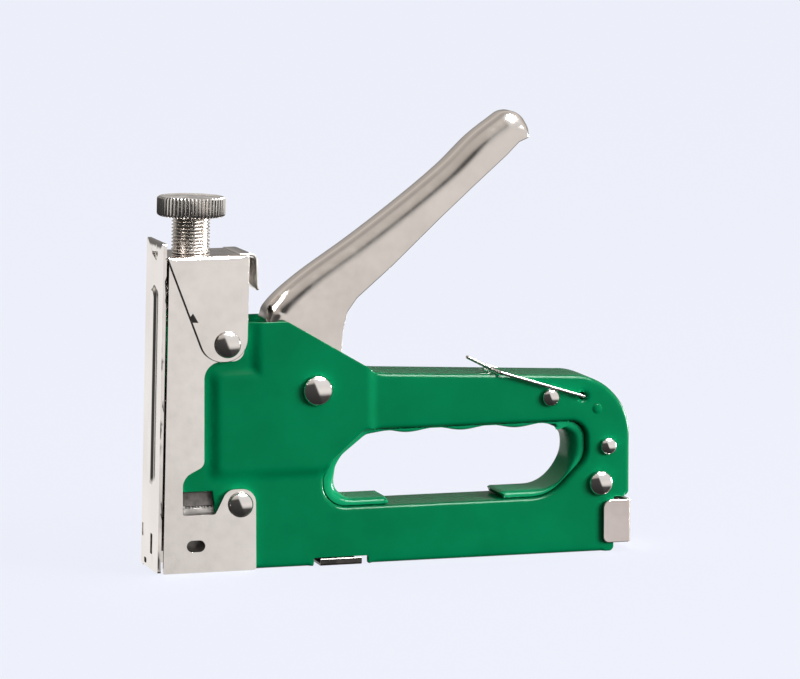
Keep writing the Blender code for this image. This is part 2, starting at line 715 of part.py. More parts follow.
def make_pusher(shop):
    """End cap, rail, follower and follower spring."""
    outer, inner = END_CAP_HALF, BODY_HALF + GAP
    wall = REAR_FACE - END_CAP_SHEET
    loop = [(END_CAP_FRONT, -outer), (REAR_FACE - 1.0, -outer), (REAR_FACE, 1.0 - outer),
            (REAR_FACE, outer - 1.0), (REAR_FACE - 1.0, outer), (END_CAP_FRONT, outer),
            (END_CAP_FRONT, inner), (wall, inner), (wall, -inner), (END_CAP_FRONT, -inner)]
    cap = shop.add("end_cap", outline_mesh("end_cap", [loop], END_CAP_BOTTOM, END_CAP_TOP, "XY"))
    trim = rounded([(END_CAP_FRONT, END_CAP_BOTTOM, 2.2), (REAR_FACE + 3, END_CAP_BOTTOM, 0),
                    (REAR_FACE + 3, END_CAP_TOP, 0), (END_CAP_FRONT, END_CAP_TOP, 3.0)], 15)
    mesh = outline_mesh("end_cap_trim", [trim], -outer - 1, outer + 1)
    combine(cap, shop.cutter(shop.add("end_cap_trim", mesh)), "INTERSECT")
    shop.part(cap, chrome("end_cap_chrome"))

    section = u_section(RAIL_HALF, RAIL_TOP, RAIL_BOTTOM, RAIL_SHEET)
    rail = shop.add("pusher_rail", outline_mesh("pusher_rail", [section], 5.0, wall - GAP, "YZ"))
    shop.part(rail, spring_steel("pusher_rail_steel"))

    section = u_section(FOLLOWER_HALF, FOLLOWER_TOP, FOLLOWER_BOTTOM, FOLLOWER_HALF - RAIL_HALF - GAP,
                        FOLLOWER_TOP - RAIL_TOP - GAP)
    front = STAPLE_REAR + GAP
    mesh = outline_mesh("pusher_follower", [section], front, front + FOLLOWER_LENGTH, "YZ")
    shop.part(shop.add("pusher_follower", mesh), dark_steel("pusher_follower_steel"))


def coil_points(radius, low, high, turns, per_turn):
    """Points of a coil round z."""
    count = round(turns * per_turn)
    points = []
    for i in range(count + 1):
        angle = 2 * math.pi * turns * i / count
        points.append((radius * math.cos(angle), radius * math.sin(angle), low + (high - low) * i / count))
    return points


def wire(shop, name, points, radius, material, parent, place=(0, 0, 0), turn=(0, 0, 0)):
    """A round wire along a line of points, with closed ends."""
    curve = bpy.data.curves.new(name, "CURVE")
    curve.dimensions = "3D"
    curve.bevel_depth = radius * MM
    curve.bevel_resolution = 2
    curve.use_fill_caps = True
    spline = curve.splines.new("POLY")
    spline.points.add(len(points) - 1)
    for point, place_on_line in zip(spline.points, points):
        point.co = (*(Vector(place_on_line) * MM), 1)
    made = bpy.data.objects.new(name, curve)
    made.parent = parent
    made.location = Vector(place) * MM
    made.rotation_euler = [math.radians(angle) for angle in turn]
    curve.materials.append(material)
    shop.parts.objects.link(made)
    return made


def make_pusher_spring(shop):
    points = coil_points(PUSHER_COIL, 62.0, 169.8, PUSHER_TURNS, 8)
    wire(shop, "pusher_spring", points, PUSHER_WIRE, spring_steel("pusher_spring_steel"), shop.gun,
         (0, 0, PUSHER_LEVEL), (0, 90, 0))


# ---------------------------------------------------------------- striker and tension screw

def make_striker(shop):
    """Hammer block on the nose axis with a rear lug; the lever's cross pin slides in the lug's slot."""
    front = -9.7
    block = shop.add("striker", box_mesh("striker", (front, 7.8), (-7.0, 7.0), (STRIKER_BOTTOM, STRIKER_TOP)),
                     shop.nose)
    slot_x, slot_z = polar(PIVOT, LIFT_PIN_ARM, LIFT_PIN_ANGLE)
    lug = rounded([(16.0, slot_z - 6, 0), (slot_x + 2, slot_z - 5.5, 3), (slot_x + 7, slot_z, 3),
                   (slot_x + 2, slot_z + 5.5, 3), (16.0, slot_z + 6, 0)], 30)
    mesh = outline_mesh("striker_lug", [lug], -3.0, 3.0)
    combine(block, shop.cutter(shop.add("striker_lug", mesh)), "UNION")
    slot = oblong((slot_x - 0.3, slot_z), 3.9, 2.4)
    combine(block, shop.cutter(shop.add("striker_slot", outline_mesh("striker_slot", [slot], -5.0, 5.0))))
    shop.part(block, dark_steel("striker_steel"))

    blade = rounded([(-5.5, 0.6, 0), (5.5, 0.6, 0), (5.5, 46, 0), (4.0, 50, 0), (-4.0, 50, 0), (-5.5, 46, 0)])
    mesh = outline_mesh("driver_blade", [blade], front - GAP - 1.0, front - GAP, "YZ")
    shop.part(shop.add("driver_blade", mesh, shop.nose), spring_steel("driver_blade_steel"))


def make_main_spring(shop):
    low = SPRING_BOTTOM + SPRING_WIRE
    high = SPRING_TOP - SPRING_WIRE
    points = coil_points(SPRING_RADIUS, low, high, SPRING_TURNS, 12)
    wire(shop, "main_spring", points, SPRING_WIRE, spring_steel("main_spring_steel"), shop.nose)


def make_tension_screw(shop):
    seat = [(0, 99.2), (7.6, 99.2), (8.2, 98.6), (8.2, SPRING_TOP + GAP), (5.4, SPRING_TOP + GAP),
            (5.0, SPRING_TOP - 4), (0, SPRING_TOP - 4)]
    made = shop.add("spring_seat", turned("spring_seat", seat), shop.nose)
    spin(made, 24)
    shop.part(made, spring_steel("spring_seat_steel"))

    top = CAP_TOP - CAP_SHEET - 0.6
    bushing = [(SCREW_BORE, top), (9.6, top), (10.2, top - 0.6), (10.2, 101.2), (9.6, 100.6),
               (SCREW_BORE, 100.6), (SCREW_BORE, top)]
    made = shop.add("screw_bushing", turned("screw_bushing", bushing), shop.nose)
    spin(made, 24)
    shop.part(made, dark_steel("screw_bushing_steel"))

    top = KNOB_BOTTOM + KNOB_HEIGHT
    knob = [(0, top - 0.2), (10.2, top - 0.2), (11.0, top), (KNOB_RADIUS, top - 1.0),
            (KNOB_RADIUS, KNOB_BOTTOM + 1.2), (KNOB_RADIUS - 1.2, KNOB_BOTTOM), (SCREW_RADIUS, KNOB_BOTTOM),
            (SCREW_RADIUS, SCREW_BOTTOM + 1.0), (SCREW_RADIUS - 1.0, SCREW_BOTTOM), (0, SCREW_BOTTOM)]
    made = shop.add("tension_knob", turned("tension_knob", knob), shop.nose)
    spin(made, 40)
    shop.part(made, chrome("tension_knob_chrome"))


# ---------------------------------------------------------------- lever

def lever_back():
    """Upper line of the lever, from the top of the shells to the foot of its rounded tip."""
    line = [(40.2, 84.0), (40.9, 90.8), (52.8, 101.4), (71.5, 113.9), (89.4, 126.8), (104.0, 138.3),
            (114.8, 148.4)]
    tip = [(120.6, 153.8), (124.8, 156.3), (129.3, 157.0), (133.6, 155.4), (135.8, 151.6), (135.2, 148.2)]
    return line + tip


def lever_side():
    """Side outline of the lever, anticlockwise: heel, underside, back, and the nose round the lift pin."""
    pin = polar(PIVOT, LIFT_PIN_ARM, LIFT_PIN_ANGLE)
    nose = arc(pin, LEVER_NOSE, 270, 130, 6)
    under = [(131.8, 147.0), (126.8, 141.9), (114.3, 131.0), (102.3, 120.3), (84.8, 104.1), (72.1, 93.3)]
    heel = [(68.6, 88.5), (67.0, 82.0), (66.4, 74.0)] + arc(PIVOT, LEVER_HEEL, 0, -100, 7)
    return list(reversed(nose + lever_back() + under + heel))


def lever_hollow():
    """What is taken out from below; it leaves one sheet of wall along the back."""
    below = [(10, 84.0), (10, 20), (90, 20), (150, 120)]
    return inset(list(reversed(lever_back())) + below, LEVER_SHEET)


def around_pivot(points):
    return [(x - PIVOT[0], z - PIVOT[1]) for x, z in points]


def near_back(distance):
    """Chooses the long edges of a lever outline that lie within a distance of its back."""
    back = [Vector(point) for point in around_pivot(lever_back())]
    middles = [(a + b) / 2 for a, b in zip(back, back[1:])]

    def chooser(x, y, z, edge):
        if not long_edge(edge) or edge.calc_face_angle(0) < 1.0:
            return False
        return any((Vector((x, z)) - middle).length < distance for middle in middles)

    return chooser


def make_lever(shop):
    """Hand lever: an inverted U of sheet with a round back, on the pivot bush."""
    mesh = outline_mesh("hand_lever", [around_pivot(lever_side())], -LEVER_HALF, LEVER_HALF,
                        edges=(near_back(1.0), LEVER_ROUND, 4))
    lever = shop.add("hand_lever", mesh, shop.pivot)
    inner = LEVER_HALF - LEVER_SHEET
    hollow = outline_mesh("lever_hollow", [around_pivot(lever_hollow())], -inner, inner,
                          edges=(near_back(LEVER_SHEET + 1.2), LEVER_ROUND - LEVER_SHEET, 3))
    combine(lever, shop.cutter(shop.add("lever_hollow", hollow, shop.pivot)))
    bore = cylinder_mesh("lever_bore", BUSH_RADIUS + GAP, 40, 24)
    combine(lever, shop.cutter(shop.add("lever_bore", bore, shop.pivot, turn=(90, 0, 0))))
    pin_x, pin_z = around_pivot([polar(PIVOT, LIFT_PIN_ARM, LIFT_PIN_ANGLE)])[0]
    bore = cylinder_mesh("lift_pin_bore", LIFT_PIN_RADIUS + GAP, 40, 16)
    combine(lever, shop.cutter(shop.add("lift_pin_bore", bore, shop.pivot, (pin_x, 0, pin_z), (90, 0, 0))))
    shop.part(lever, chrome("hand_lever_chrome"))

    chamfer = 0.4
    radius, half = LIFT_PIN_RADIUS, LIFT_PIN_HALF
    profile = [(0, half), (radius - chamfer, half), (radius, half - chamfer), (radius, chamfer - half),
               (radius - chamfer, -half), (0, -half)]
    pin = shop.add("lift_pin", turned("lift_pin", profile), shop.pivot, (pin_x, 0, pin_z), (90, 0, 0))
    spin(pin, 16)
    shop.part(pin, spring_steel("lift_pin_steel"))


# ---------------------------------------------------------------- wire latch

def corner_run(points, radius, pieces=3):
    """A line of straight runs whose inner corners are rounded."""
    line = [Vector(points[0])]
    for before, corner, after in zip(points, points[1:], points[2:]):
        corner = Vector(corner)
        start = corner + (Vector(before) - corner).normalized() * radius
        end = corner + (Vector(after) - corner).normalized() * radius
        for i in range(pieces + 1):
            share = i / pieces
            line.append(start.lerp(corner, share).lerp(corner.lerp(end, share), share))
    line.append(Vector(points[-1]))
    return line


def make_latch(shop):
    """Wire latch about its holes in the handle: two side legs, a cross run and a narrow finger."""
    hole = Vector((LATCH_HOLE[0], 0, LATCH_HOLE[1]))
    bend = Vector((LATCH_BEND[0], 0, LATCH_BEND[1])) - hole
    tip = Vector((LATCH_TIP[0], 0, LATCH_TIP[1])) - hole
    half = [Vector((0, -LATCH_INNER, 0)), Vector((0, -LATCH_HALF, 0)), bend + Vector((0, -LATCH_HALF, 0)),
            bend + Vector((0, -LATCH_FINGER, 0)), tip + Vector((0, -LATCH_FINGER, 0))]
    other = [Vector((p.x, -p.y, p.z)) for p in reversed(half)]
    points = corner_run(half + other, 1.05, 4)
    wire(shop, "wire_latch", points, LATCH_WIRE, chrome("wire_latch_chrome"), shop.gun, hole)


def main():
    shop = Workshop()
    make_shells(shop)
    make_grip_liner(shop)
    make_nose_plates(shop)
    make_front_plate(shop)
    make_spring_cap(shop)
    make_rivets(shop)
    make_pivot_bush(shop)
    make_bottom_clip(shop)
    make_magazine(shop)
    make_bumper(shop)
    make_pusher(shop)
    make_pusher_spring(shop)
    make_striker(shop)
    make_main_spring(shop)
    make_tension_screw(shop)
    make_lever(shop)
    make_latch(shop)


main()
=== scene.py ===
"""Hand staple gun: the finer shapes of its pieces, their materials and the studio.

Lengths are in millimetres in the gun's own drawing frame: x from the nose to the rear, z up from the base,
y across with the left side at -y.  The drawing's x is ORIGIN_X more than the gun's own x.
"""

import math

import bmesh
import bpy
import numpy as np
from mathutils import Matrix, Vector
from mathutils.geometry import delaunay_2d_cdt


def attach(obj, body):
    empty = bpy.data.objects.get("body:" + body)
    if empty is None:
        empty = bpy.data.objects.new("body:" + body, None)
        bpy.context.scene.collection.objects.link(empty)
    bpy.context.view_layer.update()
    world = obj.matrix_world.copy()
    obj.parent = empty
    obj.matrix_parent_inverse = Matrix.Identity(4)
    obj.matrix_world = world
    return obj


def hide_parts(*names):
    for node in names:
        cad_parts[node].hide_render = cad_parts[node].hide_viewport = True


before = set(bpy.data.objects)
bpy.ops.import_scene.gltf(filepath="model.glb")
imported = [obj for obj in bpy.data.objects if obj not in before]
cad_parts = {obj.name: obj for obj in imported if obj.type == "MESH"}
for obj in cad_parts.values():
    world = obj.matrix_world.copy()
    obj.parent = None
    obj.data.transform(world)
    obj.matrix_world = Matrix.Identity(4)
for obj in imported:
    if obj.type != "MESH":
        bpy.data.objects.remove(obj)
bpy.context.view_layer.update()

MM = 0.001
ORIGIN_X = 85.55
BODY_HALF = 11.0
PANEL_RISE = 1.5
SHEET = 1.2
SEAM = 0.2
BASE_FLANGE = 6.6
NOTCH_FLANGE = 9.4
NOSE_AXIS_X = 11.6
NOSE_LEAN = math.radians(1.5)
PLATE_FACE = 12.3
PLATE_BACK = 11.3
FRONT_TOP = 114.6
RIB_HEIGHT = 0.9
RIB_HALF = 3.7
RIB_SLOPE = 1.1
CAP_HALF = 13.6
CAP_SHEET = 0.8
TONGUE_HALF = 11.4
LINER_HALF = 9.0
LINER_GAP = 0.3
WAVE_HEIGHT = 0.75
KNOB_LOW = 123.0
KNOB_HIGH = 129.9
KNOB_RADIUS = 11.9
KNOB_FLUTES = 56
SHANK_RADIUS = 6.7
THREAD_DEPTH = 0.7
THREAD_PITCH = 1.2
PIVOT = (56.6, 62.0)
PIN_REACH = 32.0
PIN_ANGLE = math.radians(196.5)
LEVER_HALF = 8.5
LEVER_SHEET = 1.1
LEVER_ROLL = 6.2
LATCH_HOLE = (154.4, 55.9)
LATCH_BEND = (123.2, 65.7)
LATCH_TIP = (114.9, 69.9)
LATCH_HALF = 12.5
WIRE_RADIUS = 0.6
PIP = (159.6, 51.3)
LIGHT_TARGET = Vector((0, 0, 0.06))
CAMERA_LENS = 217.1
CAMERA_PLACE = Vector((-0.47045, -1.6110, 0.2973))
CAMERA_TARGET = Vector((0.00455, 0.0, 0.0771))
# slots of the front plate, as pairs of spans across and up
FRONT_SLOTS = (((9.4, 11.4), (9.8, 14.4)), ((-3.9, -0.9), (5.4, 12.6)), ((4.2, 7.6), (1.0, 2.9)))
# corners x, z and corner radius of the hand opening
OPENING = [(59.2, 20.2, 8.5), (142.2, 20.2, 16), (155.9, 33.8, 9), (155.6, 47.2, 6.5), (74.0, 47.2, 4),
           (63.0, 37.6, 6), (59.2, 31.0, 5)]
# x, z, head radius, head height and the face that the head sits on
RIVETS = {
    "upper_nose_rivet": (24.2, 79.4, 4.6, 2.4, 13.6),
    "lower_nose_rivet": (28.9, 23.2, 4.4, 2.6, 12.3),
    "lever_pivot_rivet": (56.6, 62.0, 5.3, 2.9, 12.5),
    "handle_front_rivet": (142.2, 56.0, 3.2, 2.2, 11.0),
    "handle_rear_rivet": (163.7, 37.7, 3.0, 2.1, 11.0),
    "handle_corner_rivet": (160.9, 24.6, 4.4, 2.8, 11.0),
}

scene = bpy.context.scene
scene.view_settings.view_transform = "Standard"


# ---------------------------------------------------------------- outlines

def rounded(corners):
    """Points of a closed outline whose corners (a, b, radius) are rounded by arcs, in steps of 6 degrees."""
    points = []
    count = len(corners)
    for index, (a, b, radius) in enumerate(corners):
        corner = Vector((a, b))
        before = Vector(corners[index - 1][:2]) - corner
        after = Vector(corners[(index + 1) % count][:2]) - corner
        before.normalize()
        after.normalize()
        angle = before.angle(after)
        if radius <= 0.0 or angle > math.radians(178):
            points.append((a, b))
            continue
        reach = radius / math.tan(angle / 2)
        centre = corner + (before + after).normalized() * (radius / math.sin(angle / 2))
        start = corner + before * reach - centre
        turn = start.angle_signed(corner + after * reach - centre)
        pieces = max(2, round(abs(math.degrees(turn)) / 6.0))
        for piece in range(pieces + 1):
            spun = start.copy()
            spun.rotate(Matrix.Rotation(-turn * piece / pieces, 2))
            points.append(tuple(centre + spun))
    return points


def arc(centre, radius, first, last, pieces):
    """Points round a centre from one angle to another, in degrees."""
    angles = np.radians(np.linspace(first, last, pieces + 1))
    return [(centre[0] + radius * math.cos(t), centre[1] + radius * math.sin(t)) for t in angles]


def dense(loop, step):
    """The same closed outline with no run longer than the step."""
    points = []
    count = len(loop)
    for index in range(count):
        a = np.array(loop[index], float)
        b = np.array(loop[(index + 1) % count], float)
        pieces = max(1, math.ceil(np.linalg.norm(b - a) / step))
        if np.linalg.norm(b - a) < 1e-6:
            continue
        points += [a + (b - a) * i / pieces for i in range(pieces)]
    return np.array(points)


def inward(loop):
    """Offset directions towards the left of travel, stretched so that straight sides stay parallel."""
    before = loop - np.roll(loop, 1, 0)
    after = np.roll(loop, -1, 0) - loop
    before /= np.linalg.norm(before, axis=1)[:, None]
    after /= np.linalg.norm(after, axis=1)[:, None]
    normal = np.stack([-before[:, 1] - after[:, 1], before[:, 0] + after[:, 0]], 1)
    normal /= np.linalg.norm(normal, axis=1)[:, None]
    stretch = np.maximum((normal * np.stack([-after[:, 1], after[:, 0]], 1)).sum(1), 0.5)
    return normal / stretch[:, None]


def gap_to(points, loops):
    """Distance from each point to the nearest side of the loops."""
    best = np.full(len(points), 1e9)
    for loop in loops:
        a = loop
        d = np.roll(loop, -1, 0) - loop
        size = (d ** 2).sum(1)
        for low in range(0, len(points), 4000):
            p = points[low:low + 4000, None, :] - a[None]
            t = np.clip((p * d[None]).sum(2) / size[None], 0, 1)
            near = np.sqrt(((p - t[..., None] * d[None]) ** 2).sum(2)).min(1)
            best[low:low + 4000] = np.minimum(best[low:low + 4000], near)
    return best


def within(points, loops):
    """True where a point lies inside the outline and outside its holes."""
    odd = np.zeros(len(points), bool)
    for loop in loops:
        nxt = np.roll(loop, -1, 0)
        for low in range(0, len(points), 8000):
            x = points[low:low + 8000, 0][:, None]
            y = points[low:low + 8000, 1][:, None]
            cross = (loop[None, :, 1] > y) != (nxt[None, :, 1] > y)
            rise = np.where(nxt[:, 1] == loop[:, 1], 1e-12, nxt[:, 1] - loop[:, 1])
            at = loop[None, :, 0] + (y - loop[None, :, 1]) * (nxt[:, 0] - loop[:, 0])[None] / rise[None]
            odd[low:low + 8000] ^= ((cross & (x < at)).sum(1) % 2).astype(bool)
    return odd


def lattice(x, z, step):
    """Staggered grid points over a rectangle."""
    rows = np.arange(z[0], z[1] + 1e-6, step * 0.866)
    points = []
    for index, level in enumerate(rows):
        start = x[0] + (index % 2) * step / 2
        points += [(a, level) for a in np.arange(start, x[1] + 1e-6, step)]
    return np.array(points)


def fill(loops, extra, clear=0.5):
    """Triangles between the loops, using the extra points that lie inside and clear of them."""
    if len(extra):
        extra = extra[within(extra, loops)]
        extra = extra[gap_to(extra, loops) > clear]
    flat = np.concatenate(loops + ([extra] if len(extra) else []))
    edges = []
    start = 0
    for loop in loops:
        count = len(loop)
        edges += [(start + i, start + (i + 1) % count) for i in range(count)]
        start += count
    result = delaunay_2d_cdt([Vector(p) for p in flat], edges, [], 0, 1e-7)
    out, _, faces, orig = result[:4]
    out = np.array([tuple(v) for v in out])
    index = []
    for spot, ids in zip(out, orig):
        if not ids:
            flat = np.concatenate([flat, [spot]])
        index.append(min(ids) if ids else len(flat) - 1)
    faces = np.array([f for f in faces if len(f) == 3])
    middle = out[faces].mean(1)
    faces = faces[within(middle, loops)]
    return flat, np.array(index)[faces]


# ---------------------------------------------------------------- meshes

def to_row(points):
    """Drawing millimetres to metres round the gun's middle."""
    moved = np.array(points, float) * MM
    moved[:, 0] -= ORIGIN_X * MM
    return moved


def lean(points):
    """From the nose axis's own frame to the drawing frame."""
    p = np.array(points, float)
    c, s = math.cos(NOSE_LEAN), math.sin(NOSE_LEAN)
    return np.stack([NOSE_AXIS_X + p[:, 0] * c + p[:, 2] * s, p[:, 1], p[:, 2] * c - p[:, 0] * s], 1)


def mesh_object(name, points, faces, sharp=40.0):
    mesh = bpy.data.meshes.new(name)
    mesh.from_pydata(to_row(points).tolist(), [], [tuple(int(i) for i in f) for f in faces])
    mesh.validate()
    bm = bmesh.new()
    bm.from_mesh(mesh)
    bmesh.ops.remove_doubles(bm, verts=bm.verts, dist=1e-6)
    bm.to_mesh(mesh)
    bm.free()
    mesh.shade_smooth()
    mesh.set_sharp_from_angle(angle=math.radians(sharp))
    made = bpy.data.objects.new(name, mesh)
    scene.collection.objects.link(made)
    return made


def apply(made):
    """Bakes an object's modifiers into its mesh."""
    graph = bpy.context.evaluated_depsgraph_get()
    mesh = bpy.data.meshes.new_from_object(made.evaluated_get(graph))
    made.modifiers.clear()
    if made.type == "MESH":
        made.data = mesh
        return made
    flat = bpy.data.objects.new(made.name, mesh)
    name = made.name
    bpy.data.objects.remove(made)
    flat.name = name
    scene.collection.objects.link(flat)
    return flat


def harden(made, least=4.0):
    """Gives the flats of a mesh their own straight normals, so that only its rounded edges shade softly."""
    mesh = made.data
    count = len(mesh.polygons)
    normals = np.zeros(count * 3)
    areas = np.zeros(count)
    mesh.polygons.foreach_get("normal", normals)
    mesh.polygons.foreach_get("area", areas)
    normals = normals.reshape(-1, 3)
    keys = [tuple(k) for k in np.round(normals, 2).tolist()]
    total = {}
    for key, area in zip(keys, areas):
        total[key] = total.get(key, 0.0) + area
    best = {}
    for polygon, key in zip(mesh.polygons, keys):
        for vertex in polygon.vertices:
            if vertex not in best or total[key] > total[best[vertex][0]]:
                best[vertex] = (key, polygon.normal.copy())
    flat = [vertex for vertex, (key, _) in best.items() if total[key] > least * MM * MM]
    chosen = [(0.0, 0.0, 0.0)] * len(mesh.vertices)
    for vertex in flat:
        chosen[vertex] = tuple(best[vertex][1])
    corner_normals = []
    for polygon, key in zip(mesh.polygons, keys):
        for vertex in polygon.vertices:
            near = Vector(chosen[vertex]).dot(polygon.normal) > 0.45
            corner_normals.append(chosen[vertex] if near else (0.0, 0.0, 0.0))
    mesh.normals_split_custom_set(corner_normals)
    return made


def thicken(made, thickness, bevel=0.0, segments=2):
    """Gives a skin its sheet thickness inwards, and rounds the cut edges."""
    solid = made.modifiers.new("sheet", "SOLIDIFY")
    solid.thickness = thickness * MM
    solid.offset = -1.0
    solid.use_even_offset = False
    if bevel:
        edge = made.modifiers.new("edge", "BEVEL")
        edge.width = bevel * MM
        edge.segments = segments
        edge.limit_method = "ANGLE"
        edge.angle_limit = math.radians(50)
        edge.use_clamp_overlap = True
    made = apply(made)
    for vertex in made.data.vertices:
        vertex.co.z = max(vertex.co.z, 0.0)
    made.data.shade_smooth()
    made.data.set_sharp_from_angle(angle=math.radians(50))
    return made


def press(loops, radius, half, sheet, height=None, reach=None, rows=6, extra=(), deep=1.0):
    """Left wall of a pressed sheet: a face at -half whose edges roll over and turn into flanges.

    radius(x, z) is the roll at each edge point and height(x, z) lifts the face outwards.  reach(x, z) is how
    far from the middle plane the flange stops, or nan where the sheet just ends at its own thickness.
    deep stretches the roll across y.
    """
    points = []
    faces = []
    inner = []
    inner_at = []
    for loop in loops:
        count = len(loop)
        size = radius(loop[:, 0], loop[:, 1])
        normal = inward(loop)
        first = len(points)
        lifts = height(loop[:, 0], loop[:, 1]) if height else np.zeros(count)
        stop = reach(loop[:, 0], loop[:, 1]) if reach else np.full(count, np.nan)
        stop = np.where(np.isnan(stop), half + lifts - sheet, stop)
        stop = np.minimum(stop, half + lifts - size * deep - 0.05)
        for row in range(rows + 1):
            turn = math.pi / 2 * row / rows
            spot = loop + normal * (size * (1 - math.cos(turn)))[:, None]
            level = -half - lifts + size * deep * (1 - math.sin(turn))
            points += [(a, b, c) for (a, c), b in zip(spot, level)]
        for row in range(rows):
            for i in range(count):
                j = (i + 1) % count
                a, b = first + row * count + i, first + row * count + j
                faces.append((a, b, b + count, a + count))
        end = len(points)
        points += [(a, -level, c) for (a, c), level in zip(loop, stop)]
        for i in range(count):
            j = (i + 1) % count
            faces.append((end + i, end + j, first + j, first + i))
        inner.append(np.array([(points[first + rows * count + i][0], points[first + rows * count + i][2])
                               for i in range(count)]))
        inner_at += [first + rows * count + i for i in range(count)]
    flat, triangles = fill(inner, np.array(extra))
    new = flat[len(inner_at):]
    start = len(points)
    lift = height(new[:, 0], new[:, 1]) if height is not None and len(new) else np.zeros(len(new))
    points += [(a, -half - up, c) for (a, c), up in zip(new, lift)]
    index = np.array(inner_at + list(range(start, start + len(new))))
    faces += [tuple(index[t]) for t in triangles]
    points = np.array(points)
    used = sorted(set(i for f in faces for i in f))
    remap = {old: new_at for new_at, old in enumerate(used)}
    return points[used], [tuple(remap[i] for i in f) for f in faces]


def mirrored(points, faces):
    """The same faces on the other side of the middle plane."""
    other = points * np.array([1, -1, 1])
    return other, [tuple(reversed(f)) for f in faces]


def both(points, faces):
    """The faces of one side together with their mirror image."""
    other, turned = mirrored(points, faces)
    count = len(points)
    return np.concatenate([points, other]), faces + [tuple(i + count for i in f) for f in turned]


def lathe(profile, steps=64, ripple=None):
    """A profile of (radius, height) turned round z; ripple(angle, radius, height) gives the real radius."""
    angles = np.linspace(0, 2 * math.pi, steps, endpoint=False)
    points = []
    faces = []
    for radius, level in profile:
        size = ripple(angles, radius, level) if ripple else np.full(steps, radius)
        points += list(zip(size * np.cos(angles), size * np.sin(angles), np.full(steps, level)))
    for row in range(len(profile) - 1):
        for i in range(steps):
            j = (i + 1) % steps
            faces.append((row * steps + i, row * steps + j, (row + 1) * steps + j, (row + 1) * steps + i))
    return np.array(points), faces


def plate(name, loops, low, high, bevel=0.2):
    """A flat sheet across y between two levels, with rounded edges."""
    turned = []
    for index, loop in enumerate(loops):
        loop = np.array(loop, float)
        area = (loop[:, 0] * np.roll(loop[:, 1], -1) - np.roll(loop[:, 0], -1) * loop[:, 1]).sum()
        turned.append(loop[::-1].copy() if (area > 0) == (index > 0) else loop)
    flat, triangles = fill(turned, np.zeros((0, 2)))
    count = len(flat)
    points = [(x, low, z) for x, z in flat] + [(x, high, z) for x, z in flat]
    faces = [tuple(t) for t in triangles] + [tuple(count + i for i in reversed(t)) for t in triangles]
    start = 0
    for loop in turned:
        size = len(loop)
        for i in range(size):
            a, b = start + i, start + (i + 1) % size
            faces.append((b, a, count + a, count + b))
        start += size
    made = mesh_object(name, points, faces)
    bm = bmesh.new()
    bm.from_mesh(made.data)
    rims = [e for e in bm.edges if len(e.link_faces) == 2 and e.calc_face_angle(0) > 1.2
            and abs(e.verts[0].co.y - e.verts[1].co.y) < 1e-6]
    bmesh.ops.bevel(bm, geom=rims, offset=bevel * MM, segments=3, profile=0.5, affect="EDGES",
                    clamp_overlap=True)
    bm.to_mesh(made.data)
    bm.free()
    made.data.shade_smooth()
    made.data.set_sharp_from_angle(angle=math.radians(35))
    return harden(made)


def wire(name, points, radius):
    """A round bar along the points."""
    curve = bpy.data.curves.new(name, "CURVE")
    curve.dimensions = "3D"
    curve.bevel_depth = radius * MM
    curve.bevel_resolution = 5
    curve.use_fill_caps = True
    spline = curve.splines.new("POLY")
    spline.points.add(len(points) - 1)
    for point, spot in zip(spline.points, to_row(points)):
        point.co = (*spot, 1)
    made = bpy.data.objects.new(name, curve)
    scene.collection.objects.link(made)
    made = apply(made)
    made.data.shade_smooth()
    return made


def refined(node, bevel):
    """A finer copy of a CAD node, with its sharp edges rounded."""
    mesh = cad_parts[node].data.copy()
    bm = bmesh.new()
    bm.from_mesh(mesh)
    bmesh.ops.remove_doubles(bm, verts=bm.verts, dist=2e-6)
    bmesh.ops.dissolve_limit(bm, angle_limit=math.radians(1.0), verts=bm.verts, edges=bm.edges)
    bm.to_mesh(mesh)
    bm.free()
    made = bpy.data.objects.new(node + "_finish", mesh)
    scene.collection.objects.link(made)
    edge = made.modifiers.new("edge", "BEVEL")
    edge.width = bevel * MM
    edge.segments = 2
    edge.limit_method = "ANGLE"
    edge.angle_limit = math.radians(40)
    made = apply(made)
    made.data.shade_smooth()
    made.data.set_sharp_from_angle(angle=math.radians(40))
    return harden(made)


def show(made, material, body, slot, *nodes):
    """Finishes a piece: its material, the body that it moves with and the nodes that it stands for."""
    made.data.materials.clear()
    made.data.materials.append(material)
    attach(made, body)
    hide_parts(*nodes)
    return made


# ---------------------------------------------------------------- materials

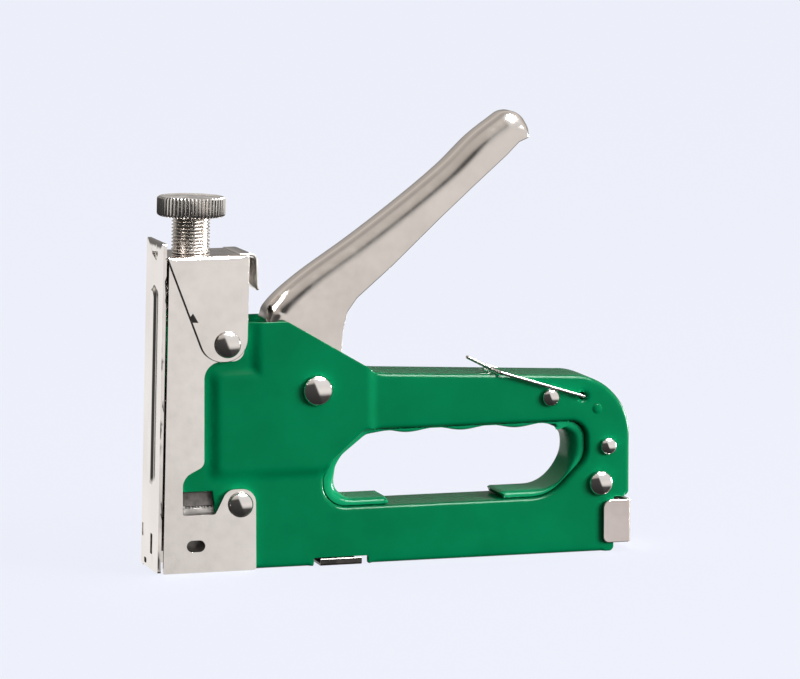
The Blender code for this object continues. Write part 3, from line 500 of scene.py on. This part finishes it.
class Looks:
    """Node helpers for one material."""

    def __init__(self, name):
        self.material = bpy.data.materials.new(name)
        self.material.use_nodes = True
        self.tree = self.material.node_tree
        self.shader = self.tree.nodes["Principled BSDF"]
        place = self.tree.nodes.new("ShaderNodeTexCoord")
        self.place = place.outputs["Object"]

    def link(self, a, b):
        self.tree.links.new(a, b)

    def set(self, **values):
        for name, value in values.items():
            self.shader.inputs[name.replace("_", " ")].default_value = value

    def noise(self, scale, detail, rough=0.5):
        node = self.tree.nodes.new("ShaderNodeTexNoise")
        node.inputs["Scale"].default_value = scale
        node.inputs["Detail"].default_value = detail
        node.inputs["Roughness"].default_value = rough
        self.link(self.place, node.inputs["Vector"])
        return node.outputs["Fac"]

    def ramp(self, value, *stops):
        node = self.tree.nodes.new("ShaderNodeValToRGB")
        band = node.color_ramp
        for element, (at, colour) in zip(band.elements, stops):
            element.position = at
            element.color = (*colour, 1)
        self.link(value, node.inputs["Fac"])
        return node.outputs["Color"]

    def span(self, value, low, high, first=0.0, last=1.0):
        node = self.tree.nodes.new("ShaderNodeMapRange")
        node.inputs["From Min"].default_value = first
        node.inputs["From Max"].default_value = last
        node.inputs["To Min"].default_value = low
        node.inputs["To Max"].default_value = high
        self.link(value, node.inputs["Value"])
        return node.outputs["Result"]

    def bump(self, value, distance, strength, below=None):
        node = self.tree.nodes.new("ShaderNodeBump")
        node.inputs["Strength"].default_value = strength
        node.inputs["Distance"].default_value = distance
        self.link(value, node.inputs["Height"])
        if below:
            self.link(below, node.inputs["Normal"])
        return node.outputs["Normal"]


def paint(name, dark, light, peel=0.00004):
    """Glossy enamel with a slight orange peel."""
    look = Looks(name)
    look.set(IOR=1.45, Specular_IOR_Level=0.045)
    tone = look.ramp(look.noise(55, 3.0), (0.35, dark), (0.7, light))
    look.link(tone, look.shader.inputs["Base Color"])
    look.link(look.span(look.noise(140, 4.0), 0.17, 0.27), look.shader.inputs["Roughness"])
    coarse = look.bump(look.noise(230, 2.0), peel * 1.6, 0.35)
    fine = look.bump(look.noise(700, 2.0), peel, 0.4, coarse)
    look.link(fine, look.shader.inputs["Normal"])
    return look.material


def plating(name, dark, light, rough=(0.07, 0.14)):
    """Bright plating over sheet that is not quite flat."""
    look = Looks(name)
    look.set(Metallic=1.0)
    tone = look.ramp(look.noise(45, 3.0), (0.3, dark), (0.72, light))
    look.link(tone, look.shader.inputs["Base Color"])
    look.link(look.span(look.noise(260, 5.0), *rough, 0.3, 0.7), look.shader.inputs["Roughness"])
    slow = look.bump(look.noise(38, 1.0), 0.00012, 0.25)
    fine = look.bump(look.noise(900, 3.0), 0.00003, 0.12, slow)
    look.link(fine, look.shader.inputs["Normal"])
    return look.material


def dull(name, dark, light, metallic, rough, grain=0.00006, scale=600):
    """Satin surface with mottled tone and fine grain."""
    look = Looks(name)
    look.set(Metallic=metallic)
    tone = look.ramp(look.noise(scale / 3, 4.0, 0.65), (0.32, dark), (0.68, light))
    look.link(tone, look.shader.inputs["Base Color"])
    look.link(look.span(look.noise(scale, 4.0), *rough, 0.3, 0.7), look.shader.inputs["Roughness"])
    look.link(look.bump(look.noise(scale, 4.0), grain, 0.4), look.shader.inputs["Normal"])
    return look.material


GREEN = paint("green_enamel", (0.0, 0.142, 0.052), (0.0, 0.165, 0.062))
LINER = paint("liner_green", (0.003, 0.235, 0.095), (0.005, 0.27, 0.112), 0.00002)
CHROME = plating("bright_chrome", (0.72, 0.68, 0.655), (0.80, 0.765, 0.74))
LEVER = plating("lever_chrome", (0.60, 0.555, 0.52), (0.68, 0.635, 0.60), (0.10, 0.18))
CAP_END = plating("end_cap_plating", (0.56, 0.50, 0.48), (0.68, 0.62, 0.60), (0.12, 0.2))
KNOB = plating("knob_plating", (0.62, 0.59, 0.56), (0.72, 0.69, 0.66), (0.16, 0.26))
WIRE = plating("wire_plating", (0.44, 0.42, 0.40), (0.56, 0.54, 0.51), (0.16, 0.26))
DARK = dull("blackened_steel", (0.10, 0.095, 0.09), (0.2, 0.19, 0.18), 1.0, (0.25, 0.42))
BLACK = dull("oiled_steel", (0.04, 0.038, 0.035), (0.10, 0.095, 0.09), 1.0, (0.28, 0.4))
STEEL = dull("spring_steel", (0.34, 0.33, 0.32), (0.5, 0.49, 0.47), 1.0, (0.24, 0.38))
RIBBED = dull("ribbed_steel", (0.28, 0.27, 0.26), (0.5, 0.485, 0.47), 1.0, (0.3, 0.42))
RUBBER = dull("grey_rubber", (0.035, 0.032, 0.03), (0.11, 0.10, 0.095), 0.0, (0.55, 0.75), 0.0002, 900)


# ---------------------------------------------------------------- shells

def smooth_least(values, soft):
    """Smooth minimum of several distances."""
    best = values[0]
    for value in values[1:]:
        share = np.clip(0.5 + 0.5 * (value - best) / soft, 0, 1)
        best = value * (1 - share) + best * share - soft * share * (1 - share)
    return best


def ramp_profile(t, soft):
    """0 to 1 with straight middle and rounded ends."""
    t = np.clip(t, -soft, 1 + soft)
    low = np.where(t < soft, (t + soft) ** 2 / (4 * soft), t)
    return np.where(t > 1 - soft, 1 - (1 - t + soft) ** 2 / (4 * soft), low)


def shell_height(x, z):
    """How far the side stands out from the body's flat: the raised panel and one small pip."""
    tab = np.maximum(x - 32.4, 71.6 - z)
    inside = smooth_least([x - 18.4, z - 31.9, 78.1 - x, tab - 1.0], 3.0)
    up = PANEL_RISE * ramp_profile(inside / 2.8, 0.28)
    gone = np.hypot(x - PIP[0], z - PIP[1])
    up = up + 0.6 * np.clip(1 - (gone / 1.7) ** 2, 0, 1) ** 0.6
    return up


def shell_loops():
    outer = rounded([(19.2, 0, 0.4), (55.6, 0, 0.6), (55.6, 2.8, 0.6), (75.2, 2.8, 0.6), (75.2, 0, 0.6),
                     (166.0, 0, 1.6), (166.0, 19.4, 0.4), (172.0, 19.4, 2.1), (172.0, 30.0, 0)])
    outer += arc((150.0, 41.5), 22.0, 0, 87, 26)
    outer += [(150.0, 63.47), (82.0, 66.8)]
    outer += rounded([(82.0, 66.8, 0), (77.4, 67.3, 6), (75.0, 69.4, 4), (46.0, 86.5, 3.0), (3.2, 86.5, 0.4),
                      (3.2, 28.2, 0.4), (19.2, 28.2, 0.4), (19.2, 0, 0)])[1:-1]
    latch_hole = np.array(circle(LATCH_HOLE, 1.3, 20))
    return [dense(outer, 1.4), dense(rounded(OPENING), 1.2)[::-1].copy(), latch_hole[::-1].copy()]


def shell_radius(x, z):
    opening = (x > 58) & (x < 156.5) & (z > 19) & (z < 48)
    top = (x > 76.0) & (z > 40)
    base = (z < 1.2) & (x > 20)
    rear = (x > 160) & (z > 19.0)
    size = np.full(len(x), 0.3)
    size[top | rear] = 1.9
    size[base] = 1.7
    size[opening] = 1.7
    near_notch = base & ((np.abs(x - 55.6) < 1.6) | (np.abs(x - 75.2) < 1.6) | (x > 163))
    size[near_notch] = 0.5
    fade = top & (x < 80)
    size[fade] = 0.3 + 1.6 * np.clip((x[fade] - 76.0) / 4.0, 0, 1)
    rim = rear & (z < 21.6) & (x < 170)
    size[rim] = 0.4
    return size


def shell_reach(x, z):
    stop = np.full(len(x), np.nan)
    opening = (x > 58) & (x < 156.5) & (z > 19) & (z < 48)
    stop[opening] = SEAM
    stop[(x > 76.3) & (z > 48)] = SEAM
    stop[(x > 166.2) & (z > 18)] = SEAM
    stop[(z < 1.2) & (x > 19.5)] = BASE_FLANGE
    stop[(z < 2.9) & (x > 55.0) & (x < 76)] = NOTCH_FLANGE
    return stop


def make_shells():
    loops = shell_loops()
    extra = np.concatenate([
        lattice((8, 88), (26, 88), 1.1), lattice((4, 170), (1, 66), 5.0),
        lattice((157.2, 162), (48.9, 53.7), 0.3)])
    points, faces = press(loops, shell_radius, BODY_HALF, SHEET, shell_height, shell_reach, 6, extra)
    for name, (p, f) in (("left_shell", (points, faces)), ("right_shell", mirrored(points, faces))):
        shell = thicken(mesh_object(name + "_skin", p, f), SHEET)
        show(shell, GREEN, "frame", "green_paint", name)


# ---------------------------------------------------------------- liner, plates and cap

def make_liner():
    """C-shaped pad of the hand opening, crowned across y, with finger waves under the handle."""
    outline = dense(rounded(OPENING), 1.0)
    outline = outline + inward(outline) * LINER_GAP
    waves = []
    for s in np.linspace(0, 1, 90):
        fade = min(1.0, 9.0 * s, 9.0 * (1 - s))
        wave = WAVE_HEIGHT * math.cos(2 * math.pi * (s * 3.5 + 0.18))
        waves.append((147.0 - s * 70.0, 45.4 + fade * (0.6 - wave)))
    rear = rounded([(64.6, 30, 0), (64.6, 22.8, 6.0), (150.7, 22.8, 12.4), (150.7, 45.4, 7.5),
                    (147.0, 45.4, 0)])
    front = rounded([(147.0, 45.4, 0), (76.0, 45.3, 3), (66.6, 38.3, 6), (64.6, 34.0, 3), (64.6, 30, 0)])
    inner = dense(rear[:-2] + waves + front[1:-1], 1.0)

    def from_gap(line, left, right, level):
        kept = [tuple(p) for p in line if not (left < p[0] < right and p[1] < 24)]
        start = min(range(len(kept)), key=lambda i: abs(kept[i][0] - right) + 3 * abs(kept[i][1] - level))
        return kept[start:] + kept[:start]

    loop = from_gap(outline, 83.3, 125.0, 20.5) + [(83.4, 20.75), (82.9, 22.2)]
    loop += list(reversed(from_gap(inner, 83.0, 124.6, 22.8))) + [(124.5, 22.2)]

    def roll(x, z):
        return np.maximum(0.25, 0.8 * gap_to(np.stack([x, z], 1), [outline]))

    def reach(x, z):
        return np.zeros(len(x))

    points, faces = press([np.array(loop)], roll, LINER_HALF, LINER_HALF, None, reach, 8, (), 1.6)
    points, faces = both(points, faces)
    made = mesh_object("grip_liner_skin", points, faces, 60)
    show(made, LINER, "frame", "liner_plastic", "grip_liner")


def circle(centre, radius, pieces):
    return arc(centre, radius, 0, 360 - 360 / pieces, pieces - 1)


def oblong(centre, half_length, radius):
    x, z = centre
    return (arc((x - half_length + radius, z), radius, 90, 270, 12)
            + arc((x + half_length - radius, z), radius, -90, 90, 12))


def make_nose_plates():
    slope = math.tan(NOSE_LEAN)
    outline = rounded([(1.2, 0, 0.3), (34.4, 0, 1.0), (34.4, 28.6, 5.0), (24.2, 28.6, 4.4),
                       (19.9, 20.1, 1.2), (8.3, 20.1, 1.0), (8.3, 33.4, 5.5), (16.0, 37.2, 3.0),
                       (16.2, 73.4, 6.0), (30.5, 73.4, 4), (30.5, 107.5, 0.5),
                       (1.2 + slope * 107.5, 107.5, 0.5)])
    loops = [outline, oblong((12.9, 9.3), 3.3, 2.05)]
    for name, side in (("left_nose_plate", -1), ("right_nose_plate", 1)):
        low, high = sorted((side * PLATE_FACE, side * PLATE_BACK))
        show(plate(name + "_skin", loops, low, high, 0.22), CHROME, "frame", "chrome", name)


def make_front_plate():
    """Front plate in the nose axis's frame: u across, w up, with a pressed rib."""
    half = PLATE_FACE
    outline = rounded([(-half, 0, 0.8), (half, 0, 0.8), (half, FRONT_TOP, 1.2), (-half, FRONT_TOP, 1.2)])
    holes = []
    for (a, b), (c, d) in FRONT_SLOTS:
        holes.append(rounded([(a, c, 0.7), (b, c, 0.7), (b, d, 0.7), (a, d, 0.7)]))
    holes.append(rounded([(6.4, 110.3, 0.5), (-4.8, 111.2, 0.6), (-2.0, 107.8, 0.5)]))
    loops = [dense(outline, 2.0)]
    for hole in holes:
        loop = dense(hole, 0.5)
        area = (loop[:, 0] * np.roll(loop[:, 1], -1) - np.roll(loop[:, 0], -1) * loop[:, 1]).sum()
        loops.append(loop[::-1].copy() if area > 0 else loop)
    extra = np.concatenate([lattice((-5.0, 5.0), (26, 102), 0.42), lattice((-12, 12), (1, 113), 4.0)])
    flat, triangles = fill(loops, extra, 0.4)
    gone = np.hypot(flat[:, 0], np.clip(np.abs(flat[:, 1] - 64.0) - 31.0, 0, None))
    rib = RIB_HEIGHT * ramp_profile((RIB_HALF - gone) / RIB_SLOPE, 0.3)
    depth = -0.9 - NOSE_AXIS_X
    points = np.stack([depth - rib, flat[:, 0], flat[:, 1]], 1)
    made = mesh_object("front_plate_skin", lean(points), [tuple(reversed(t)) for t in triangles])
    made = thicken(made, SHEET, 0.22, 3)
    show(made, CHROME, "frame", "chrome", "front_plate")


def make_spring_cap():
    side = rounded([(3.1, 110.2, 0.5), (16.9, 73.3, 8.0), (31.2, 73.3, 8.0), (32.2, 110.2, 0.8)])
    loop = dense(side, 1.2)

    def roll(x, z):
        near_end = np.minimum(x - 3.0, 32.3 - x)
        return np.where(z > 109.6, np.clip(0.25 + near_end * 0.55, 0.25, 1.9), 0.25)

    def reach(x, z):
        return np.where(z > 110.1, 0.0, np.nan)

    inside = lattice((0, 34), (70, 110), 4.0)
    points, faces = press([loop], roll, CAP_HALF, CAP_SHEET, None, reach, 6, inside)
    points, faces = both(points, faces)
    made = harden(thicken(mesh_object("spring_cap_skin", points, faces), CAP_SHEET), 20.0)
    line = [(29.0, 109.75), (32.4, 109.75)] + arc((33.0, 108.05), 1.7, 80, 5, 6) + [
        (34.8, 104.0), (34.9, 100.0), (35.05, 98.4), (35.4, 97.6)]
    line = np.array(line)
    across = np.linspace(-TONGUE_HALF, TONGUE_HALF, 15)
    grid = np.array([(x, y, z) for x, z in line for y in across])
    count = len(across)
    quads = [(r * count + i, (r + 1) * count + i, (r + 1) * count + i + 1, r * count + i + 1)
             for r in range(len(line) - 1) for i in range(count - 1)]
    tongue = mesh_object("cap_tongue", grid, [tuple(reversed(q)) for q in quads])
    tongue = thicken(tongue, CAP_SHEET, 0.16)
    join(made, tongue)
    show(made, CHROME, "frame", "chrome", "spring_cap")


def join(made, other):
    """Adds the second mesh to the first."""
    bm = bmesh.new()
    bm.from_mesh(made.data)
    bm.from_mesh(other.data)
    bm.to_mesh(made.data)
    bm.free()
    bpy.data.objects.remove(other)
    made.data.shade_smooth()
    made.data.set_sharp_from_angle(angle=math.radians(45))


# ---------------------------------------------------------------- rivets, knob and screw

def make_rivets():
    for name, (x, z, head, height, face) in RIVETS.items():
        face = face + 0.3
        turn = np.linspace(0, math.pi / 2, 16)
        dome = height - 0.35
        profile = [(max(head * math.sin(t), 0.001), face + 0.35 + dome * math.cos(t)) for t in turn]
        profile += [(head, face + 0.1), (head - 0.12, face), (2.0, face), (2.0, 0.0)]
        points, faces = lathe(profile, 48)
        spun = np.stack([points[:, 0], -points[:, 2], points[:, 1]], 1) + np.array([x, 0, z])
        points, faces = both(spun, faces)
        show(mesh_object(name + "_head", points, faces, 50), CHROME, "frame", "chrome", name)


def make_knob():
    low = KNOB_LOW
    high = KNOB_HIGH
    rim = KNOB_RADIUS

    def knurl(angle, radius, level):
        depth = 0.62 if radius > 11.7 else 0.3
        if radius < 11.2 or level < low + 0.3 and radius < 11.8:
            depth = 0.0
        return radius - depth * np.abs(np.sin(angle * KNOB_FLUTES / 2)) ** 0.7

    head = [(0.001, high - 0.3), (9.4, high - 0.3), (10.1, high - 0.2), (10.7, high), (11.15, high - 0.05),
            (11.75, high - 0.5), (rim, high - 0.9), (rim, low + 1.0), (11.75, low + 0.55), (11.1, low + 0.05),
            (10.6, low), (6.9, low)]
    points, faces = lathe(head, KNOB_FLUTES * 8, knurl)
    levels = np.arange(123.1, 99.6, -0.12)
    angles = np.linspace(0, 2 * math.pi, 72, endpoint=False)
    rows = []
    for level in levels:
        phase = (level / THREAD_PITCH - angles / (2 * math.pi)) % 1.0
        size = SHANK_RADIUS - THREAD_DEPTH * np.clip(np.abs(phase - 0.5) * 2.4 - 0.1, 0, 1)
        rows.append(np.stack([size * np.cos(angles), size * np.sin(angles), np.full(72, level)], 1))
    shank = np.concatenate(rows)
    count = len(points)
    quads = [(r * 72 + i, r * 72 + (i + 1) % 72, (r + 1) * 72 + (i + 1) % 72, (r + 1) * 72 + i)
             for r in range(len(levels) - 1) for i in range(72)]
    faces += [tuple(count + i for i in q) for q in quads]
    last = count + (len(levels) - 1) * 72
    faces.append(tuple(range(last, last + 72)))
    points = np.concatenate([points, shank])
    made = mesh_object("tension_knob_head", lean(points), [tuple(reversed(f)) for f in faces], 42)
    bm = bmesh.new()
    bm.from_mesh(made.data)
    bmesh.ops.recalc_face_normals(bm, faces=bm.faces)
    bm.to_mesh(made.data)
    bm.free()
    show(made, KNOB, "knob", "chrome", "tension_knob")


# ---------------------------------------------------------------- lever

def make_lever():
    pin = (PIVOT[0] + PIN_REACH * math.cos(PIN_ANGLE), PIVOT[1] + PIN_REACH * math.sin(PIN_ANGLE))
    root = arc(pin, 4.2, 270, 130, 12)
    back = [(39.6, 81.0), (40.1, 87.0), (42.2, 92.4), (52.8, 101.4), (71.5, 113.9), (89.4, 126.8),
            (104.0, 138.3), (114.8, 148.4)]
    tip = arc((128.7, 150.5), 6.5, 128, -25, 16)
    under = [(131.2, 146.3), (126.8, 141.9), (114.3, 131.0), (102.3, 120.3), (84.8, 104.1),
             (72.1, 93.3)]
    heel = [(68.6, 88.5), (67.0, 82.0), (66.4, 74.0)] + arc(PIVOT, 9.2, 0, -100, 14)
    outline = curved(back + tip[:1], 1.2)[:-1]
    loop = dense((root + outline + tip + under + heel)[::-1], 1.3)

    def on_back(x, z):
        line = np.array(back + tip)
        a, d = line[:-1], line[1:] - line[:-1]
        p = np.stack([x, z], 1)[:, None, :] - a[None]
        t = np.clip((p * d[None]).sum(2) / (d ** 2).sum(1)[None], 0, 1)
        return np.sqrt(((p - t[..., None] * d[None]) ** 2).sum(2)).min(1) < 0.8

    def roll(x, z):
        full = np.where(z < 92, LEVER_ROLL - 5.2 + (np.clip(z, 81, 92) - 81) / 11 * 5.2, LEVER_ROLL)
        full = np.where(x > 134.0, np.clip(z - 147.4, 0.35, 6.0), full)
        return np.where(on_back(x, z), full, 0.35)

    def reach(x, z):
        return np.where(on_back(x, z) & (z > 81.5), 0.0, np.nan)

    inside = lattice((20, 140), (50, 160), 3.0)
    points, faces = press([loop], roll, LEVER_HALF, SHEET, None, reach, 9, inside)
    points, faces = both(points, faces)
    made = thicken(mesh_object("hand_lever_skin", points, faces, 60), LEVER_SHEET)
    show(made, LEVER, "lever", "chrome", "hand_lever")


def curved(points, step):
    """A smooth open line through the points (Catmull-Rom)."""
    p = np.array(points, float)
    p = np.concatenate([[2 * p[0] - p[1]], p, [2 * p[-1] - p[-2]]])
    line = []
    for i in range(1, len(p) - 2):
        pieces = max(2, math.ceil(np.linalg.norm(p[i + 1] - p[i]) / step))
        for k in range(pieces):
            t = k / pieces
            a = 2 * p[i] + (p[i + 1] - p[i - 1]) * t
            b = (2 * p[i - 1] - 5 * p[i] + 4 * p[i + 1] - p[i + 2]) * t ** 2
            c = (-p[i - 1] + 3 * p[i] - 3 * p[i + 1] + p[i + 2]) * t ** 3
            line.append(tuple((a + b + c) / 2))
    line.append(tuple(p[-2]))
    return line


# ---------------------------------------------------------------- wire latch and the small pieces

def corner_run(points, radius):
    """The run of points with its corners rounded off, starting this far from each corner."""
    pieces = 8
    line = [Vector(points[0])]
    for before, corner, after in zip(points, points[1:], points[2:]):
        corner = Vector(corner)
        start = corner + (Vector(before) - corner).normalized() * radius
        end = corner + (Vector(after) - corner).normalized() * radius
        for i in range(pieces + 1):
            share = i / pieces
            line.append(start.lerp(corner, share).lerp(corner.lerp(end, share), share))
    line.append(Vector(points[-1]))
    return [tuple(p) for p in line]


def make_latch():
    places = ((LATCH_HOLE, 8.4), (LATCH_HOLE, LATCH_HALF), (LATCH_BEND, LATCH_HALF), (LATCH_BEND, 1.1),
              (LATCH_TIP, 1.1))
    side = [(x, -y, z) for (x, z), y in places]
    other = [(x, -y, z) for x, y, z in reversed(side)]
    made = wire("wire_latch_run", corner_run(side + other, 1.09), WIRE_RADIUS)
    show(made, WIRE, "latch", "chrome", "wire_latch")


def make_small_pieces():
    for node, material, body, slot, bevel in (
            ("end_cap", CAP_END, "pusher", "chrome", 0.3),
            ("bottom_clip", BLACK, "frame", "dark_steel", 0.25),
            ("bumper", RUBBER, "frame", "black_rubber", 0.2),
            ("bumper_plate", RIBBED, "frame", "spring_steel", 0.08),
            ("striker", DARK, "hammer", "dark_steel", 0.3),
            ("driver_blade", STEEL, "hammer", "spring_steel", 0.1),
            ("magazine_channel", DARK, "frame", "spring_steel", 0.12),
            ("staple_strip", STEEL, "frame", "spring_steel", 0.08),
            ("pusher_rail", STEEL, "pusher", "spring_steel", 0.1),
            ("pusher_follower", DARK, "follower", "dark_steel", 0.1),
            ("spring_seat", STEEL, "seat", "spring_steel", 0.15),
            ("screw_bushing", DARK, "frame", "dark_steel", 0.15),
            ("pivot_bush", STEEL, "frame", "spring_steel", 0.1),
            ("lift_pin", STEEL, "lever", "spring_steel", 0.15)):
        show(refined(node, bevel), material, body, slot, node)
    for node in ("main_spring", "pusher_spring"):
        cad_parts[node].data.materials.clear()
        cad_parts[node].data.materials.append(STEEL)


# ---------------------------------------------------------------- studio

def make_world():
    """Studio surroundings: a pale front, a pale back and a dark side, as the plating reflects them."""
    world = bpy.data.worlds.new("studio")
    world.use_nodes = True
    tree = world.node_tree
    scene.world = world
    place = tree.nodes.new("ShaderNodeTexCoord").outputs["Generated"]
    split = tree.nodes.new("ShaderNodeSeparateXYZ")
    tree.links.new(place, split.inputs[0])

    def ramp(value, stops):
        node = tree.nodes.new("ShaderNodeValToRGB")
        while len(node.color_ramp.elements) < len(stops):
            node.color_ramp.elements.new(0.5)
        for element, (at, grey, warm) in zip(node.color_ramp.elements, stops):
            element.position = (at + 1) / 2
            element.color = (grey * (1 + warm), grey, grey * (1 - warm), 1)
        shift = tree.nodes.new("ShaderNodeMapRange")
        shift.inputs["From Min"].default_value = -1
        tree.links.new(value, shift.inputs["Value"])
        tree.links.new(shift.outputs["Result"], node.inputs["Fac"])
        return node.outputs["Color"]

    def mix(a, b, share):
        node = tree.nodes.new("ShaderNodeMix")
        node.data_type = "RGBA"
        tree.links.new(share, node.inputs["Factor"])
        tree.links.new(a, node.inputs["A"])
        tree.links.new(b, node.inputs["B"])
        return node.outputs["Result"]

    back = ramp(split.outputs["Z"], [
        (-1, 0.3, 0.02), (-0.22, 1.0, 0.02), (-0.08, 0.96, 0.02), (-0.02, 0.16, 0.03),
        (0.12, 0.22, 0.04), (0.25, 0.42, 0.05), (0.5, 0.8, 0.07), (0.85, 0.5, 0.04)])
    front = ramp(split.outputs["Z"], [
        (-1, 0.04, 0), (-0.42, 0.08, 0), (-0.24, 0.84, 0.025), (-0.1, 0.97, 0.025), (0.2, 0.88, 0.02),
        (0.5, 0.9, 0), (1, 0.8, 0)])
    dark = ramp(split.outputs["Z"], [
        (-1, 0.03, 0), (0, 0.06, 0), (0.42, 0.07, 0.04), (0.62, 0.55, 0.06), (1, 0.75, 0.04)])

    def step(value, low, high):
        node = tree.nodes.new("ShaderNodeMapRange")
        node.interpolation_type = "SMOOTHSTEP"
        node.inputs["From Min"].default_value = low
        node.inputs["From Max"].default_value = high
        tree.links.new(value, node.inputs["Value"])
        return node.outputs["Result"]

    slant = tree.nodes.new("ShaderNodeMath")
    slant.operation = "MULTIPLY_ADD"
    slant.inputs[1].default_value = 0.4
    tree.links.new(split.outputs["Z"], slant.inputs[0])
    tree.links.new(split.outputs["X"], slant.inputs[2])
    ahead = mix(dark, front, step(slant.outputs["Value"], 0.03, 0.19))
    behind = mix(dark, back, step(split.outputs["X"], -0.95, -0.55))
    total = mix(ahead, behind, step(split.outputs["Y"], -0.1, 0.3))
    tree.links.new(total, tree.nodes["Background"].inputs["Color"])
    tree.nodes["Background"].inputs["Strength"].default_value = 1.0


def make_light(name, place, size, power, colour=(1, 1, 1)):
    light = bpy.data.lights.new(name, "AREA")
    light.shape = "RECTANGLE"
    light.size, light.size_y = size
    light.energy = power
    light.color = colour
    made = bpy.data.objects.new(name, light)
    made.location = place
    made.rotation_euler = (LIGHT_TARGET - Vector(place)).to_track_quat("-Z", "Y").to_euler()
    scene.collection.objects.link(made)
    return made


def make_floor():
    bm = bmesh.new()
    bmesh.ops.create_grid(bm, x_segments=8, y_segments=8, size=40.0)
    mesh = bpy.data.meshes.new("floor")
    bm.to_mesh(mesh)
    bm.free()
    floor = bpy.data.objects.new("floor", mesh)
    floor.location = (0, 0, -0.0002)
    scene.collection.objects.link(floor)
    material = bpy.data.materials.new("pale_floor")
    material.use_nodes = True
    shader = material.node_tree.nodes["Principled BSDF"]
    shader.inputs["Base Color"].default_value = (0.05, 0.05, 0.055, 1)
    shader.inputs["Roughness"].default_value = 1.0
    shader.inputs["Specular IOR Level"].default_value = 0.0
    shader.inputs["Emission Color"].default_value = (0.85, 0.875, 0.962, 1)
    shader.inputs["Emission Strength"].default_value = 0.95
    mesh.materials.append(material)
    floor.visible_glossy = False
    floor.visible_diffuse = False


def make_camera():
    data = bpy.data.cameras.new("camera")
    data.lens = CAMERA_LENS
    data.sensor_width = 36.0
    data.clip_end = 100
    camera = bpy.data.objects.new("camera", data)
    camera.location = CAMERA_PLACE
    camera.rotation_euler = (CAMERA_TARGET - CAMERA_PLACE).to_track_quat("-Z", "Y").to_euler()
    scene.collection.objects.link(camera)
    scene.camera = camera


make_shells()
make_liner()
make_nose_plates()
make_front_plate()
make_spring_cap()
make_rivets()
make_knob()
make_lever()
make_latch()
make_small_pieces()
make_world()
make_floor()
make_light("key", (1.15, -0.85, 0.34), (0.6, 0.6), 33, (1, 0.99, 0.97)).visible_glossy = False
make_light("top", (0.5, -0.36, 1.45), (1.0, 1.0), 300).visible_diffuse = False
make_light("side", (1.4, 0.35, 0.1), (0.5, 0.4), 70).visible_diffuse = False
make_camera()
